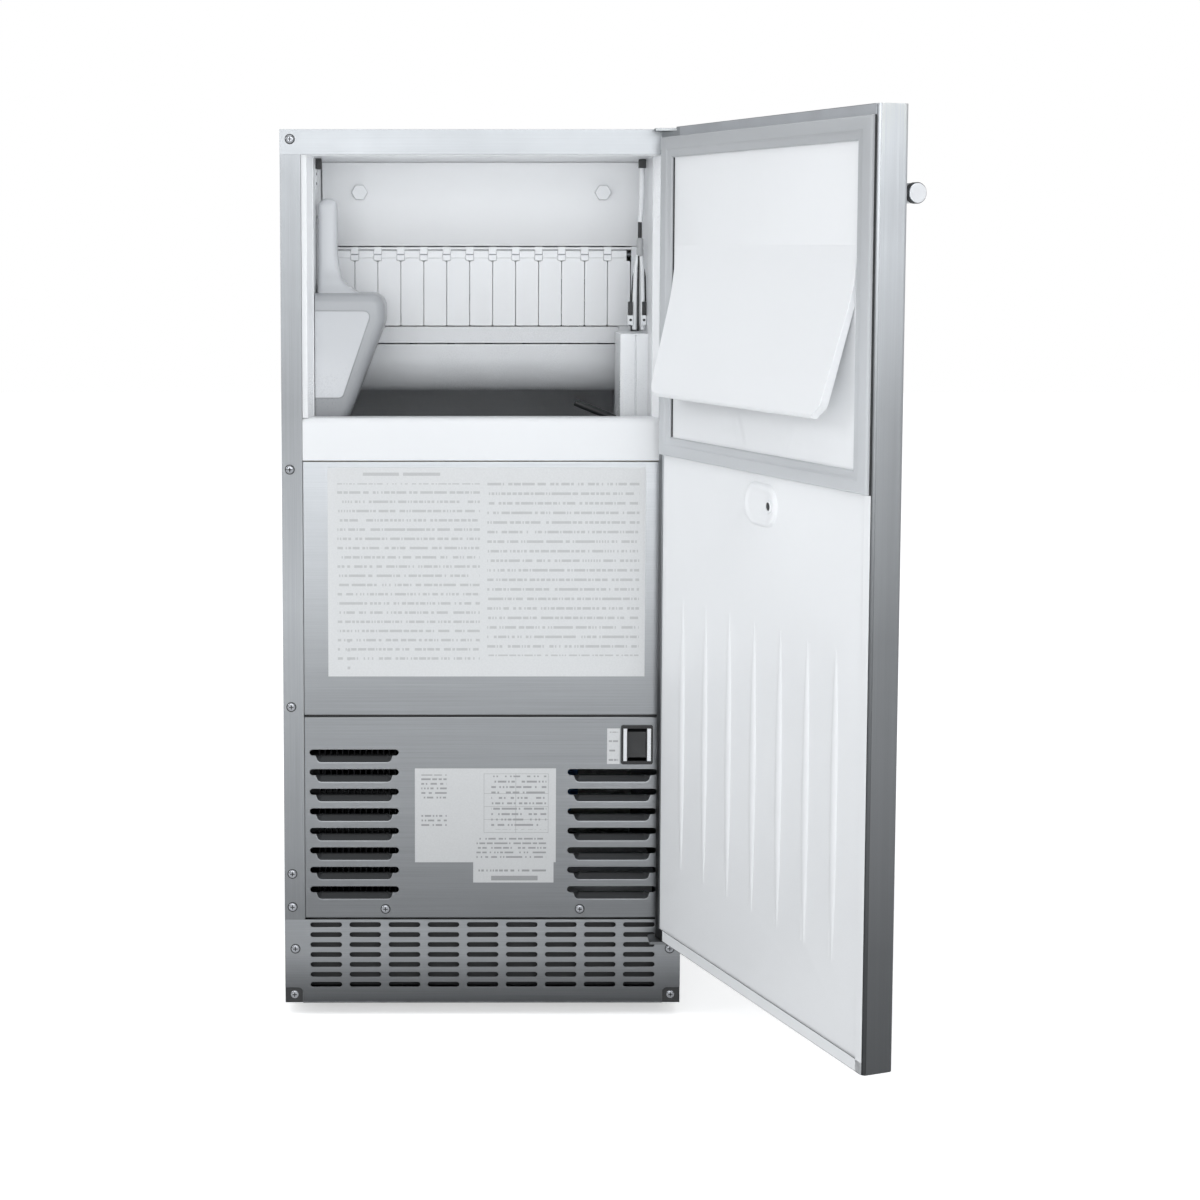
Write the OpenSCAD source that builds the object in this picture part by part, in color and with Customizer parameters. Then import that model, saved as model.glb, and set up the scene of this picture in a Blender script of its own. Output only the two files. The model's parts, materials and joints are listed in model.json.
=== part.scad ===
// Undercounter clear-ice maker with its door open.
// +X is to the right, +Y runs from the front face to the back, +Z is up.
// The origin is the middle of the bottom edge of the cabinet's front face.

/* [Cabinet] */
// Width of the cabinet
cabinet_w = 375; // [372:1:380]
// Depth of the cabinet from its front face to its back
cabinet_d = 560; // [550:5:600]
// Height of the cabinet without its feet
cabinet_h = 824; // [820:1:830]
// Thickness of the sheet steel
sheet_t = 1.2; // [1:0.1:1.5]
// Width of the upright front stiles
stile_w = 19.3; // [18:0.1:21]
// Height of the slotted kick plate
kick_h = 81; // [78:1:84]
// Height of the top panel's front flange
top_flange_h = 23; // [20:1:26]
// How far the levelling feet stand out below the cabinet
foot_drop = 12; // [8:1:14]

/* [Ice bin] */
// Half width of the bin between its inner walls
bin_half_w = 158; // [154:1:160]
// Wall thickness of the moulded liner
liner_t = 3; // [2:0.5:4]
// Height of the bin floor
bin_floor_z = 300; // [290:1:310]
// Height of the bin's front lip
bin_lip_z = 558; // [550:1:565]
// Height of the inside of the ceiling
bin_top_z = 800; // [798:1:800]
// Where the inside of the rear wall is
bin_rear_y = 521; // [515:1:525]

/* [Door] */
// Width of the door
door_w = 374; // [370:1:376]
// Thickness of the door
door_t = 28; // [26:1:32]
// Height of the door's lower edge
door_bottom_z = 68.4; // [66:0.1:72]
// Gap between the closed door and the cabinet's front face
door_gap = 4.8; // [4.5:0.1:6]
// How far the door stands open
door_angle = 110.5; // [0:0.5:115]
// Distance from the hinge pin to the door's hinge edge
hinge_edge = 11; // [10:0.5:14]
// Distance from the hinge pin to the door's inner face
hinge_inset = 11.5; // [10:0.5:14]
// Radius of the hinge pins
hinge_pin_r = 4; // [3:0.5:5]
// Radius of the handle's bar
handle_r = 8; // [6:0.5:10]
// Distance from the door's outer face to the handle's axis
handle_reach = 34; // [30:1:40]

/* [Curtain] */
// Number of hanging slats
slat_count = 13; // [13:1:13]
// Distance from one slat to the next
slat_pitch = 22.8; // [22:0.1:22.9]
// Width of one slat
slat_w = 21.8; // [20:0.1:21.8]
// Radius of the rod that the slats hang on
rod_r = 2; // [1.5:0.1:2.5]

/* [Hidden] */
$fn = 64;
eps = 0.01;
half_w = cabinet_w / 2;
inner_x = half_w - sheet_t;
inner_back_y = cabinet_d - sheet_t;
top_under_z = cabinet_h - sheet_t;
flange_z = cabinet_h - top_flange_h;
stile_in_x = half_w - stile_w;
panel_half_w = stile_in_x - 0.2;
// Faces of the three panels between the stiles
service_z = [82.9, 276];
mid_z = [278, 517.3];
shelf_z = [279.5, 281];
// Thickness of the base pan, whose front edge lies in the plane of the front
pan_t = 1.5;
// Liner shell, and the band that closes the bin at the front
liner_front_y = 19;
liner_wall_y = liner_front_y + liner_t;
liner_out_x = bin_half_w + liner_t;
lip_z = [518.2, bin_lip_z];
// Drain pipe under the bin floor
drain_at = [60, 500];
drain_r = 9;
drain_bore_r = 6.5;
drain_spigot_r = 8;
drain_z = 35;
drain_out_y = cabinet_d + 20;
// Rear connections
valve_at = [100, 80];
valve_stub_r = 13.3;
gland_at = [-120, 50];
gland_bore_r = 4.2;
// Feet
foot_at = [for (x = [-150, 150], y = [90, 500]) [x, y]];
foot_bolt_r = 4;
// Louvers of the service panel
louver_w = 84.1;
louver_pitch = 18.8;
louver_slot_h = 6;
louver_pocket_w = 74;
louver_pocket_h = 7.2;
louver_depth = 4;
left_louver_x = -121.2;
right_louver_x = 122;
louver_top_z = 242;
// Slots of the kick plate
kick_slot = [29.9, 4.6];
kick_pitch = [37.1, 9.67];
kick_first_z = 18;
kick_rows = 7;
// Rocker switch
switch_at = [145, 249.75];
switch_hole = [24, 34];
rocker_pivot_y = 6;
rocker_r = 14;
rocker_w = 17;
rocker_pin_r = 1.5;
// Screws, as x, z and the height of the face under the head
screw_head_r = 3.8;
screw_head_h = 1.2;
screw_r = 1.9;
screw_hole_r = 2.1;
stile_screws = [for (s = [-1, 1], z = [509.8, 285.5, 125.3, 93.3]) [s * 180, z]];
top_screws = [[-178, 815]];
panel_screws = [[-92, 91.4], [92, 91.4]];
kick_screws = [[-177.6, 52.8], [177.6, 52.8]];
corner_screws = [[-178.6, 8], [178.6, 8]];
corner_cut = [17, 15];
// Curtain of slats in front of the ice-making chamber
curtain_y = 152;
rod_z = 709;
slat_z = [638.5, 703];
slat_t = 2;
knuckle_r = 4.5;
knuckle_w = 15;
running_gap = 0.06;
slat_half = slat_count * slat_pitch / 2;
cover_z = [717.5, 799.5];
cover_y = 146;
// Water tray and the sloping chute above it
tray_x = [-bin_half_w, 134];
tray_y = [152, 455];
tray_z = [572, 620];
tray_t = 2.5;
chute_lip_z = [621.3, 637.5];
chute_rear_z = 690;
chute_bars = 21;
// Evaporator with its square cells
evap_half_x = 132;
evap_y = [190, 454];
evap_z = [742, 772];
evap_cells = 6;
evap_wall = 3;
coil_r = 4.75;
coil_pitch = 48;
// Guard at the right wall with the probe's capillary tube
guard_x = 131.6;
guard_y = [58, 128];
guard_z = [545, 634];
capillary_at = [151, 80];
capillary_r = 1.5;
// Ice scoop on its sloping peg
scoop_y = [24, 104];
scoop_wall = 2.5;
scoop_back_x = -156;
peg_tilt = 35;
peg_at = [-bin_half_w, 64, 740];
peg_r = 4;
peg_hole_r = 4.6;
// Condenser and its fan
condenser_x = [-156, -77];
fan_at = [-105, 145];
fan_r = 72;
fan_hub_y = [86, 104];
fan_shaft_r = 3;
// Door, described closed and then swung about its hinge
door_half_w = door_w / 2;
door_top_z = cabinet_h;
door_in_y = -door_gap;
door_out_y = -door_gap - door_t;
hinge_at = [door_half_w - hinge_edge, door_in_y - hinge_inset];
hinge_leaf_t = 2.5;
hinge_tab_t = 1;
notch_r = 25;
notch_z = door_top_z - 3.7;
socket_r = 7;
skin_return = 10;
door_liner_y = door_in_y - 1.4;
door_liner_t = 2;
door_liner_half_w = 183;
gasket_in = [160, 543, 797];
gasket_out = [179, 526, 817];
gasket_face_y = -1.5;
handle_z = 758;
handle_half = 147;
post_x = 127;

// Box between two corners
module block(x, y, z) {
    translate([x[0], y[0], z[0]])
        cube([x[1] - x[0], y[1] - y[0], z[1] - z[0]]);
}

// Cylinder along X, Y or Z from one end to the other
module rod_x(x, y, z, r) {
    translate([x[0], y, z]) rotate([0, 90, 0]) cylinder(r = r, h = x[1] - x[0]);
}
module rod_y(x, y, z, r) {
    translate([x, y[0], z]) rotate([-90, 0, 0]) cylinder(r = r, h = y[1] - y[0]);
}
module rod_z(x, y, z, r) {
    translate([x, y, z[0]]) cylinder(r = r, h = z[1] - z[0]);
}

// Outline of a rectangle with round corners, centred on its origin
module round_rect(w, h, r) {
    square([w - 2 * r, h], center = true);
    square([w, h - 2 * r], center = true);
    for (x = [-1, 1], y = [-1, 1])
        translate([x * (w / 2 - r), y * (h / 2 - r)]) circle(r);
}

// Outline in X and Z turned upright and given a thickness along Y
module upright(y) {
    translate([0, y[1], 0]) rotate([90, 0, 0]) linear_extrude(y[1] - y[0]) children();
}

// Outline in Y and Z given a length along X
module lengthwise(x) {
    translate([x[0], 0, 0]) rotate([90, 0, 90]) linear_extrude(x[1] - x[0]) children();
}

// Swings the closed door to where it stands open
module swung_open() {
    translate([hinge_at[0], hinge_at[1], 0])
        rotate([0, 0, door_angle])
            translate([-hinge_at[0], -hinge_at[1], 0]) children();
}

// Copies for the left and right ends
module both_sides() {
    for (m = [0, 1]) mirror([m, 0, 0]) children();
}

// Holes for the screws at the given places
module screw_holes(places) {
    for (p = places) rod_y(p[0], [-2, 6], p[1], screw_hole_r);
}

// ---------------------------------------------------------------- cabinet

module base_pan() {
    flange_h = 20;
    edge_x = half_w - corner_cut[0];
    color("silver") difference() {
        union() {
            block([-inner_x, inner_x], [sheet_t, inner_back_y], [0, pan_t]);
            block([-edge_x, edge_x], [0, sheet_t], [0, pan_t]);
            both_sides()
                block([inner_x - sheet_t, inner_x], [sheet_t, inner_back_y], [pan_t, flange_h]);
            block([-inner_x, inner_x], [inner_back_y - sheet_t, inner_back_y], [pan_t, 14]);
            block([-inner_x, inner_x], [sheet_t, 2 * sheet_t], [pan_t, 15.2]);
        }
        for (f = foot_at) rod_z(f[0], f[1], [-1, 3], foot_bolt_r + 0.2);
        screw_holes(corner_screws);
    }
}

module side_panel() {
    block([-half_w, -inner_x], [sheet_t, inner_back_y], [0, top_under_z]);
    difference() {
        union() {
            block([-half_w, -stile_in_x], [0, sheet_t], [kick_h, flange_z]);
            block([-stile_in_x - sheet_t, -stile_in_x], [sheet_t, 8], [kick_h, flange_z]);
        }
        screw_holes(stile_screws);
    }
}

module side_panel_left() {
    color("gainsboro") side_panel();
}

module side_panel_right() {
    color("gainsboro") mirror([1, 0, 0]) side_panel();
}

module rear_panel() {
    vent = [60, 5];
    vent_pitch = 14;
    color("silver") difference() {
        block([-inner_x, inner_x], [inner_back_y, cabinet_d], [0, top_under_z]);
        for (x = [-110, -30, 110], i = [0:7])
            upright([inner_back_y - 1, cabinet_d + 1])
                translate([x, 140 + i * vent_pitch]) round_rect(vent[0], vent[1], vent[1] / 2 - eps);
        rod_y(valve_at[0], [inner_back_y - 1, cabinet_d + 1], valve_at[1], valve_stub_r + 1.5);
        rod_y(drain_at[0], [inner_back_y - 1, cabinet_d + 1], drain_z, drain_spigot_r + 1.5);
        rod_y(gland_at[0], [inner_back_y - 1, cabinet_d + 1], gland_at[1], 8);
    }
}

module top_panel() {
    color("whitesmoke") difference() {
        union() {
            block([-half_w, half_w], [0, cabinet_d], [top_under_z, cabinet_h]);
            block([-half_w, half_w], [0, sheet_t], [flange_z, top_under_z]);
        }
        screw_holes(top_screws);
        for (x = [168, 182]) rod_y(x, [-1, 2], 812, 2.1);
    }
}

module divider_shelf() {
    color("silver") difference() {
        block([-inner_x, inner_x], [10, inner_back_y], shelf_z);
        rod_z(drain_at[0], drain_at[1], [shelf_z[0] - 1, shelf_z[1] + 1], drain_r + 0.2);
        rod_z(40, 300, [shelf_z[0] - 1, shelf_z[1] + 1], 4);
    }
}

module kick_plate() {
    cut_r = 5;
    color("dimgray") difference() {
        block([-half_w, half_w], [0, sheet_t], [pan_t, kick_h]);
        for (c = [-4:4], i = [0:kick_rows - 1])
            upright([-1, 3])
                translate([c * kick_pitch[0], kick_first_z + i * kick_pitch[1]])
                    round_rect(kick_slot[0], kick_slot[1], kick_slot[1] / 2 - eps);
        both_sides() upright([-1, 3]) {
            translate([half_w - corner_cut[0], -1])
                square([corner_cut[0] + 1, corner_cut[1] + 1 - cut_r]);
            translate([half_w - corner_cut[0] + cut_r, -1])
                square([corner_cut[0] + 1, corner_cut[1] + 1]);
            translate([half_w - corner_cut[0] + cut_r, corner_cut[1] - cut_r]) circle(cut_r);
        }
        screw_holes(kick_screws);
        for (x = [173, 183]) rod_y(x, [-1, 2], 62.5, 2.1);
    }
}

module mid_front_panel() {
    color("lightgray") {
        block([-panel_half_w, panel_half_w], [0, sheet_t], mid_z);
        block([-panel_half_w, panel_half_w], [sheet_t, 8], [mid_z[0], mid_z[0] + 1]);
    }
}

// Sheet behind one louver, pressed inwards below its slot
module louver_back(x, z) {
    top_z = z - louver_slot_h / 2;
    lengthwise([x - louver_pocket_w / 2, x + louver_pocket_w / 2])
        polygon([[0, top_z - louver_pocket_h - sheet_t], [sheet_t, top_z - louver_pocket_h - sheet_t],
            [louver_depth + sheet_t, top_z], [0, top_z]]);
}

// Slot of one louver and the hollow of its pocket
module louver_hollow(x, z) {
    top_z = z - louver_slot_h / 2;
    half = louver_pocket_w / 2 - sheet_t;
    upright([-1, 3]) translate([x, z]) round_rect(louver_w, louver_slot_h, 2.9);
    lengthwise([x - half, x + half])
        polygon([[-1, top_z - louver_pocket_h], [0, top_z - louver_pocket_h],
            [louver_depth, top_z], [louver_depth, top_z + 1], [-1, top_z + 1]]);
}

module service_panel() {
    left_rows = [for (i = [0:7]) [left_louver_x, louver_top_z - i * louver_pitch]];
    right_rows = [for (i = [1:7]) [right_louver_x, louver_top_z - i * louver_pitch]];
    rows = concat(left_rows, right_rows);
    color("darkgray") difference() {
        union() {
            block([-panel_half_w, panel_half_w], [0, sheet_t], service_z);
            both_sides()
                block([panel_half_w - sheet_t, panel_half_w], [sheet_t, 10], service_z);
            for (p = rows) louver_back(p[0], p[1]);
        }
        for (p = rows) louver_hollow(p[0], p[1]);
        translate([switch_at[0], 0, switch_at[1]])
            block([-switch_hole[0] / 2, switch_hole[0] / 2], [-1, 3],
                [-switch_hole[1] / 2, switch_hole[1] / 2]);
        screw_holes(panel_screws);
    }
}

module front_labels() {
    label_t = 0.25;
    color("white") {
        block([-145, 151.7], [-label_t, 0], [314.7, 511.6]);
        block([-64, 69], [-label_t, 0], [136.6, 226.8]);
        block([-9, 67], [-label_t, 0], [117, 136.6]);
        block([117, 129], [-label_t, 0], [231, 265]);
    }
}

module front_screws() {
    on_face = concat(stile_screws, top_screws, panel_screws, kick_screws);
    color("gray") {
        for (p = on_face) screw(p[0], 0, p[1]);
        for (p = corner_screws) screw(p[0], sheet_t, p[1]);
    }
}

// Pan-head screw with a cross recess, driven along +Y
module screw(x, y, z) {
    slot = [4.4, 0.9];
    difference() {
        union() {
            rod_y(x, [y - screw_head_h, y], z, screw_head_r);
            rod_y(x, [y, y + 7], z, screw_r);
        }
        translate([x, 0, z]) for (a = [0, 90]) rotate([0, a, 0])
            block([-slot[0] / 2, slot[0] / 2], [y - 2, y - 0.5], [-slot[1] / 2, slot[1] / 2]);
    }
}

module levelling_feet() {
    pad_r = 16;
    nut_r = 7.5;
    color("dimgray") for (f = foot_at) {
        rod_z(f[0], f[1], [-foot_drop, -foot_drop + 6], pad_r);
        rod_z(f[0], f[1], [-foot_drop + 6, 28], foot_bolt_r);
        rod_z(f[0], f[1], [-6, 0], 10);
        translate([f[0], f[1], 1.5]) cylinder(r = nut_r, h = 6.5, $fn = 6);
    }
}

// ---------------------------------------------------------------- switch

module switch_housing() {
    pocket_r = rocker_r + 1.5;
    color("lightgray") translate([switch_at[0], 0, switch_at[1]]) difference() {
        union() {
            upright([-2, 0]) round_rect(30, 37.5, 2);
            block([-11.8, 11.8], [0, 24], [-16.8, 16.8]);
        }
        rod_x([-rocker_w / 2 - 0.2, rocker_w / 2 + 0.2], rocker_pivot_y, 0, pocket_r);
        block([-rocker_w / 2 - 0.2, rocker_w / 2 + 0.2], [-3, rocker_pivot_y],
            [-pocket_r, pocket_r]);
        rod_x([-rocker_w / 2 - 2.2, rocker_w / 2 + 2.2], rocker_pivot_y, 0,
            rocker_pin_r + running_gap);
    }
}

module switch_rocker() {
    dish_y = 0.5;
    tip_y = -1.5;
    color("black") translate([switch_at[0], 0, switch_at[1]]) {
        intersection() {
            rod_x([-rocker_w / 2, rocker_w / 2], rocker_pivot_y, 0, rocker_r);
            lengthwise([-rocker_w / 2, rocker_w / 2])
                polygon([[20, -rocker_r], [tip_y, -rocker_r], [dish_y, 0], [tip_y, rocker_r],
                    [20, rocker_r]]);
        }
        rod_x([-rocker_w / 2 - 2, rocker_w / 2 + 2], rocker_pivot_y, 0, rocker_pin_r);
    }
}

// ---------------------------------------------------------------- ice bin

// Side of the liner's mouth, flared towards the front
module mouth_flare() {
    translate([0, 0, lip_z[1] - eps]) linear_extrude(bin_top_z - lip_z[1] + eps)
        polygon([[bin_half_w, liner_wall_y], [bin_half_w + 5, sheet_t],
            [panel_half_w, sheet_t], [panel_half_w, sheet_t + 2], [liner_out_x, liner_front_y],
            [liner_out_x, liner_wall_y]]);
}

module lip_band() {
    edge_r = 5;
    lengthwise([-panel_half_w, panel_half_w]) {
        translate([0, lip_z[0]]) square([liner_wall_y, lip_z[1] - lip_z[0] - edge_r]);
        translate([edge_r, lip_z[0]]) square([liner_wall_y - 2 * edge_r, lip_z[1] - lip_z[0]]);
        translate([edge_r, lip_z[1] - edge_r]) circle(edge_r);
        translate([liner_wall_y - edge_r, lip_z[1] - edge_r]) circle(edge_r);
    }
}

module bin_liner() {
    color("white") difference() {
        union() {
            difference() {
                block([-liner_out_x, liner_out_x], [liner_front_y, bin_rear_y + liner_t],
                    [bin_floor_z - liner_t, bin_top_z + liner_t]);
                block([-bin_half_w, bin_half_w], [liner_wall_y, bin_rear_y],
                    [bin_floor_z, bin_top_z]);
                block([-bin_half_w, bin_half_w], [0, liner_wall_y + 1], [lip_z[1], bin_top_z]);
            }
            both_sides() mouth_flare();
            block([-panel_half_w, panel_half_w], [sheet_t, liner_wall_y],
                [bin_top_z, bin_top_z + liner_t - 2]);
            lip_band();
        }
        rod_z(drain_at[0], drain_at[1], [bin_floor_z - 9, bin_floor_z + 1], drain_bore_r);
    }
}

module insulation_foam() {
    side_y = 22.2;
    color("khaki") difference() {
        union() {
            block([-inner_x, inner_x], [side_y, inner_back_y], [shelf_z[1], top_under_z]);
            block([-inner_x, inner_x], [10, side_y], [mid_z[1], top_under_z]);
            block([-166, 166], [sheet_t + 0.2, side_y], [shelf_z[1], mid_z[1]]);
        }
        block([-liner_out_x, liner_out_x], [liner_front_y, bin_rear_y + liner_t],
            [bin_floor_z - liner_t, bin_top_z + liner_t]);
        block([-stile_in_x, stile_in_x], [0, liner_wall_y + 0.5],
            [mid_z[1] - eps, bin_top_z + liner_t]);
        rod_z(drain_at[0], drain_at[1], [shelf_z[0], bin_floor_z], drain_r + 0.2);
    }
}

module evaporator_cover() {
    wall = 2.5;
    half = bin_half_w - 1;
    color("white") difference() {
        block([-half, half], [cover_y, cover_y + 30], cover_z);
        block([-half + wall, half - wall], [cover_y + wall, cover_y + 31],
            [cover_z[0] - 1, cover_z[1] - wall]);
        for (x = [-120, 120]) rod_y(x, [cover_y - 1, cover_y + 4], 770, 3.2);
    }
}

module cover_knobs() {
    color("whitesmoke") for (x = [-120, 120]) {
        translate([x, cover_y, 770]) rotate([90, 0, 0]) cylinder(r = 8, h = 6, $fn = 6);
        rod_y(x, [cover_y - 1, cover_y + 8], 770, 3);
    }
}

module evaporator() {
    pitch = (2 * evap_half_x - evap_wall) / evap_cells;
    pocket = pitch - evap_wall;
    first_run_y = 226;
    run_half = 95;
    color("peru") {
        difference() {
            block([-evap_half_x, evap_half_x], evap_y, evap_z);
            for (i = [0:evap_cells - 1], j = [0:evap_cells - 1])
                translate([-evap_half_x + evap_wall + i * pitch, evap_y[0] + evap_wall + j * pitch,
                    evap_z[0] - 1]) cube([pocket, pocket, 26]);
        }
        for (x = [-120, 120], y = [200, 444]) rod_z(x, y, [evap_z[1] - 1, bin_top_z], 4);
        for (i = [0:4])
            rod_x([-run_half, run_half], first_run_y + i * coil_pitch, evap_z[1] + 4.5, coil_r);
        for (i = [0:3]) {
            end = i % 2 == 0 ? 1 : -1;
            translate([end * run_half, first_run_y + (i + 0.5) * coil_pitch, evap_z[1] + 4.5])
                rotate([0, 0, -90 * end])
                    rotate_extrude(angle = 180) translate([coil_pitch / 2, 0]) circle(coil_r);
        }
    }
}

module spray_manifold() {
    pipe_y = 300;
    pipe_z = 604;
    color("lightgray") {
        rod_x([-125, 116], pipe_y, pipe_z, 9);
        for (i = [0:5]) rod_z(-110 + i * 40, pipe_y, [pipe_z, pipe_z + 16], 4);
        rod_y(107, [pipe_y, 472], pipe_z, 9 - eps);
        for (x = [-100, 60]) block([x - 5, x + 5], [pipe_y - 8, pipe_y + 8],
            [tray_z[0] + tray_t, pipe_z]);
    }
}

module sump_tray() {
    corner_r = 14;
    color("white") difference() {
        union() {
            block([tray_x[0], tray_x[1]], [tray_y[0] + corner_r, tray_y[1]], tray_z);
            block([tray_x[0], tray_x[1]], tray_y, [tray_z[0] + corner_r, tray_z[1]]);
            rod_x(tray_x, tray_y[0] + corner_r, tray_z[0] + corner_r, corner_r);
            block([tray_x[1] - 1, 139], [200, 230], [606, 612]);
        }
        block([tray_x[0] + tray_t, tray_x[1] - tray_t],
            [tray_y[0] + corner_r, tray_y[1] - tray_t], [tray_z[0] + tray_t, tray_z[1] + 1]);
        block([tray_x[0] + tray_t, tray_x[1] - tray_t],
            [tray_y[0] + tray_t, tray_y[0] + corner_r + 1],
            [tray_z[0] + corner_r, tray_z[1] + 1]);
        rod_x([tray_x[0] + tray_t, tray_x[1] - tray_t], tray_y[0] + corner_r,
            tray_z[0] + corner_r, corner_r - tray_t);
        rod_y(107, [tray_y[1] - 5, tray_y[1] + 1], 604, 9.1);
    }
}

module ice_chute() {
    bar_t = 3;
    lip_x = [-bin_half_w, 137];
    pitch = (lip_x[1] - lip_x[0] - 18) / (chute_bars - 1);
    color("white") {
        block(lip_x, [curtain_y, curtain_y + 4], chute_lip_z);
        block(lip_x, [tray_y[1] - 8, tray_y[1] - 3], [chute_rear_z - 8, chute_rear_z + 2]);
        for (i = [0:chute_bars - 1])
            lengthwise([lip_x[0] + 9 + i * pitch - bar_t / 2, lip_x[0] + 9 + i * pitch + bar_t / 2])
                polygon([[curtain_y + 2, chute_lip_z[1] - 8], [curtain_y + 2, chute_lip_z[1]],
                    [tray_y[1] - 5, chute_rear_z + 1], [tray_y[1] - 5, chute_rear_z - 7]]);
    }
}

module circulation_pump() {
    pump_at = [107, 494];
    color("dimgray") {
        rod_z(pump_at[0], pump_at[1], [588, 622], 22);
        rod_z(pump_at[0], pump_at[1], [622, 680], 18);
        block([pump_at[0] - 14, pump_at[0] + 14], [pump_at[1] + 10, bin_rear_y], [600, 612]);
    }
}

// ---------------------------------------------------------------- curtain

module curtain_rod() {
    color("dimgray") rod_x([-slat_half - 4, slat_half + 4], curtain_y, rod_z, rod_r);
}

module curtain_brackets() {
    color("white") both_sides() difference() {
        union() {
            block([slat_half + 0.5, bin_half_w], [curtain_y - 5, curtain_y + 5],
                [rod_z - 9, rod_z + 8]);
            block([slat_half + 0.5, bin_half_w], [curtain_y - 2, curtain_y],
                [slat_z[0], rod_z - 9 + eps]);
        }
        rod_x([slat_half - 1, slat_half + 4.5], curtain_y, rod_z, rod_r + running_gap);
    }
}

// A slat hangs on the rod by its knuckle; the first one is at the left
module slat(number) {
    x = (number - (slat_count + 1) / 2) * slat_pitch;
    color("whitesmoke") difference() {
        union() {
            block([x - slat_w / 2, x + slat_w / 2], [curtain_y - slat_t, curtain_y], slat_z);
            rod_x([x - knuckle_w / 2, x + knuckle_w / 2], curtain_y, rod_z, knuckle_r);
            block([x - knuckle_w / 2, x + knuckle_w / 2], [curtain_y - slat_t, curtain_y],
                [slat_z[1] - eps, rod_z]);
        }
        rod_x([x - slat_w, x + slat_w], curtain_y, rod_z, rod_r + running_gap);
    }
}

// Guard of the probe at the right wall, with the hole its capillary tube goes through
module probe_guard() {
    wall = 2;
    color("white") difference() {
        block([guard_x, bin_half_w], guard_y, [guard_z[0], guard_z[1]]);
        block([guard_x + wall, bin_half_w - wall], [guard_y[0] + wall, guard_y[1] - wall],
            [guard_z[0] - 1, guard_z[1] - wall]);
        rod_z(capillary_at[0], capillary_at[1], [guard_z[1] - wall - 1, guard_z[1] + 1],
            capillary_r + 0.2);
    }
}

// Probe in the bin, and its capillary tube hanging from a block under the ceiling
module bin_probe() {
    clip_half = 4.5;
    probe_r = 3.5;
    color("black") {
        translate([guard_x - 1, 100, 549.5]) rotate([0, -68, 0])
            cylinder(r = probe_r, h = 42);
        translate([guard_x - 1, 100, 549.5]) rotate([0, -68, 0]) translate([0, 0, 42])
            sphere(probe_r);
        rod_z(capillary_at[0], capillary_at[1], [guard_z[0] + 5, bin_top_z - 8], capillary_r);
        block([capillary_at[0] - clip_half, bin_half_w],
            [capillary_at[1] - clip_half, capillary_at[1] + clip_half],
            [bin_top_z - 9, bin_top_z]);
        block([capillary_at[0] - clip_half, capillary_at[0] + clip_half],
            [capillary_at[1] - 3, capillary_at[1] + 3], [652, 720]);
    }
}

// ---------------------------------------------------------------- scoop

module scoop_peg() {
    color("lightgray") {
        block([-bin_half_w, -bin_half_w + 1.4], [50, 78], [722, 762]);
        intersection() {
            translate(peg_at) rotate([0, 90 - peg_tilt, 0]) translate([0, 0, -6])
                cylinder(r = peg_r, h = 38);
            block([-bin_half_w, 0], [0, 200], [600, bin_top_z]);
        }
    }
}

module ice_scoop() {
    handle_x = [scoop_back_x, -138];
    color("ghostwhite") difference() {
        union() {
            upright(scoop_y) {
                polygon([[scoop_back_x, 668], [-104, 668], [-92, 656], [-92, 648], [-146, 502],
                    [scoop_back_x, 500]]);
                translate([-104, 656]) circle(12);
            }
            block(handle_x, [52, 76], [660, 754]);
            rod_x(handle_x, 64, 750, 12);
        }
        upright([scoop_y[0] + scoop_wall, scoop_y[1] - scoop_wall])
            polygon([[scoop_back_x - 1, 665.5], [-104, 665.5], [-94.5, 656], [-94.5, 648.5],
                [-148, 504.5], [scoop_back_x - 1, 504.2]]);
        translate(peg_at) rotate([0, 90 - peg_tilt, 0]) translate([0, 0, -10])
            cylinder(r = peg_hole_r, h = 60);
    }
}

// ---------------------------------------------------------------- machine space

module compressor() {
    shell_r = 60;
    centre = [-80, 430];
    color("dimgray") {
        rod_z(centre[0], centre[1], [84, 170], shell_r);
        translate([centre[0], centre[1], 84]) sphere(shell_r);
        translate([centre[0], centre[1], 170]) sphere(shell_r);
        block([-155, -5], [365, 488], [28, 33]);
        for (x = [-138, -22], y = [378, 474]) rod_z(x, y, [1.5, 28 + eps], 9);
        block([centre[0] + 52, centre[0] + 74], [410, 450], [100, 160]);
    }
}

module condenser_coil() {
    fin_count = 15;
    fin_pitch = (condenser_x[1] - condenser_x[0] - 1) / (fin_count - 1);
    run_z = [for (i = [0:5]) 50 + i * 36];
    color("darkgoldenrod") {
        for (i = [0:fin_count - 1])
            block([condenser_x[0] + i * fin_pitch, condenser_x[0] + i * fin_pitch + 1],
                [22, 62], [26, 254]);
        for (z = run_z) rod_x([condenser_x[0] - 2, condenser_x[1] + 2], 42, z, coil_r);
        for (i = [0:4]) {
            end = i % 2;
            translate([condenser_x[end] + (end == 0 ? -2 : 2), 42, run_z[i] + 18])
                rotate([90, end == 0 ? 90 : -90, 0]) rotate([0, 0, 180])
                    rotate_extrude(angle = 180) translate([18, 0]) circle(coil_r);
        }
        block([condenser_x[0], condenser_x[1]], [22, 62], [1.5, 26]);
    }
}

module fan_shroud() {
    color("silver") difference() {
        union() {
            block([-184, -26], [80, 82], [1.5, 270]);
            rod_y(fan_at[0], [82, 92], fan_at[1], fan_r + 6);
        }
        rod_y(fan_at[0], [79, 93], fan_at[1], fan_r + 4);
    }
}

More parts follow.
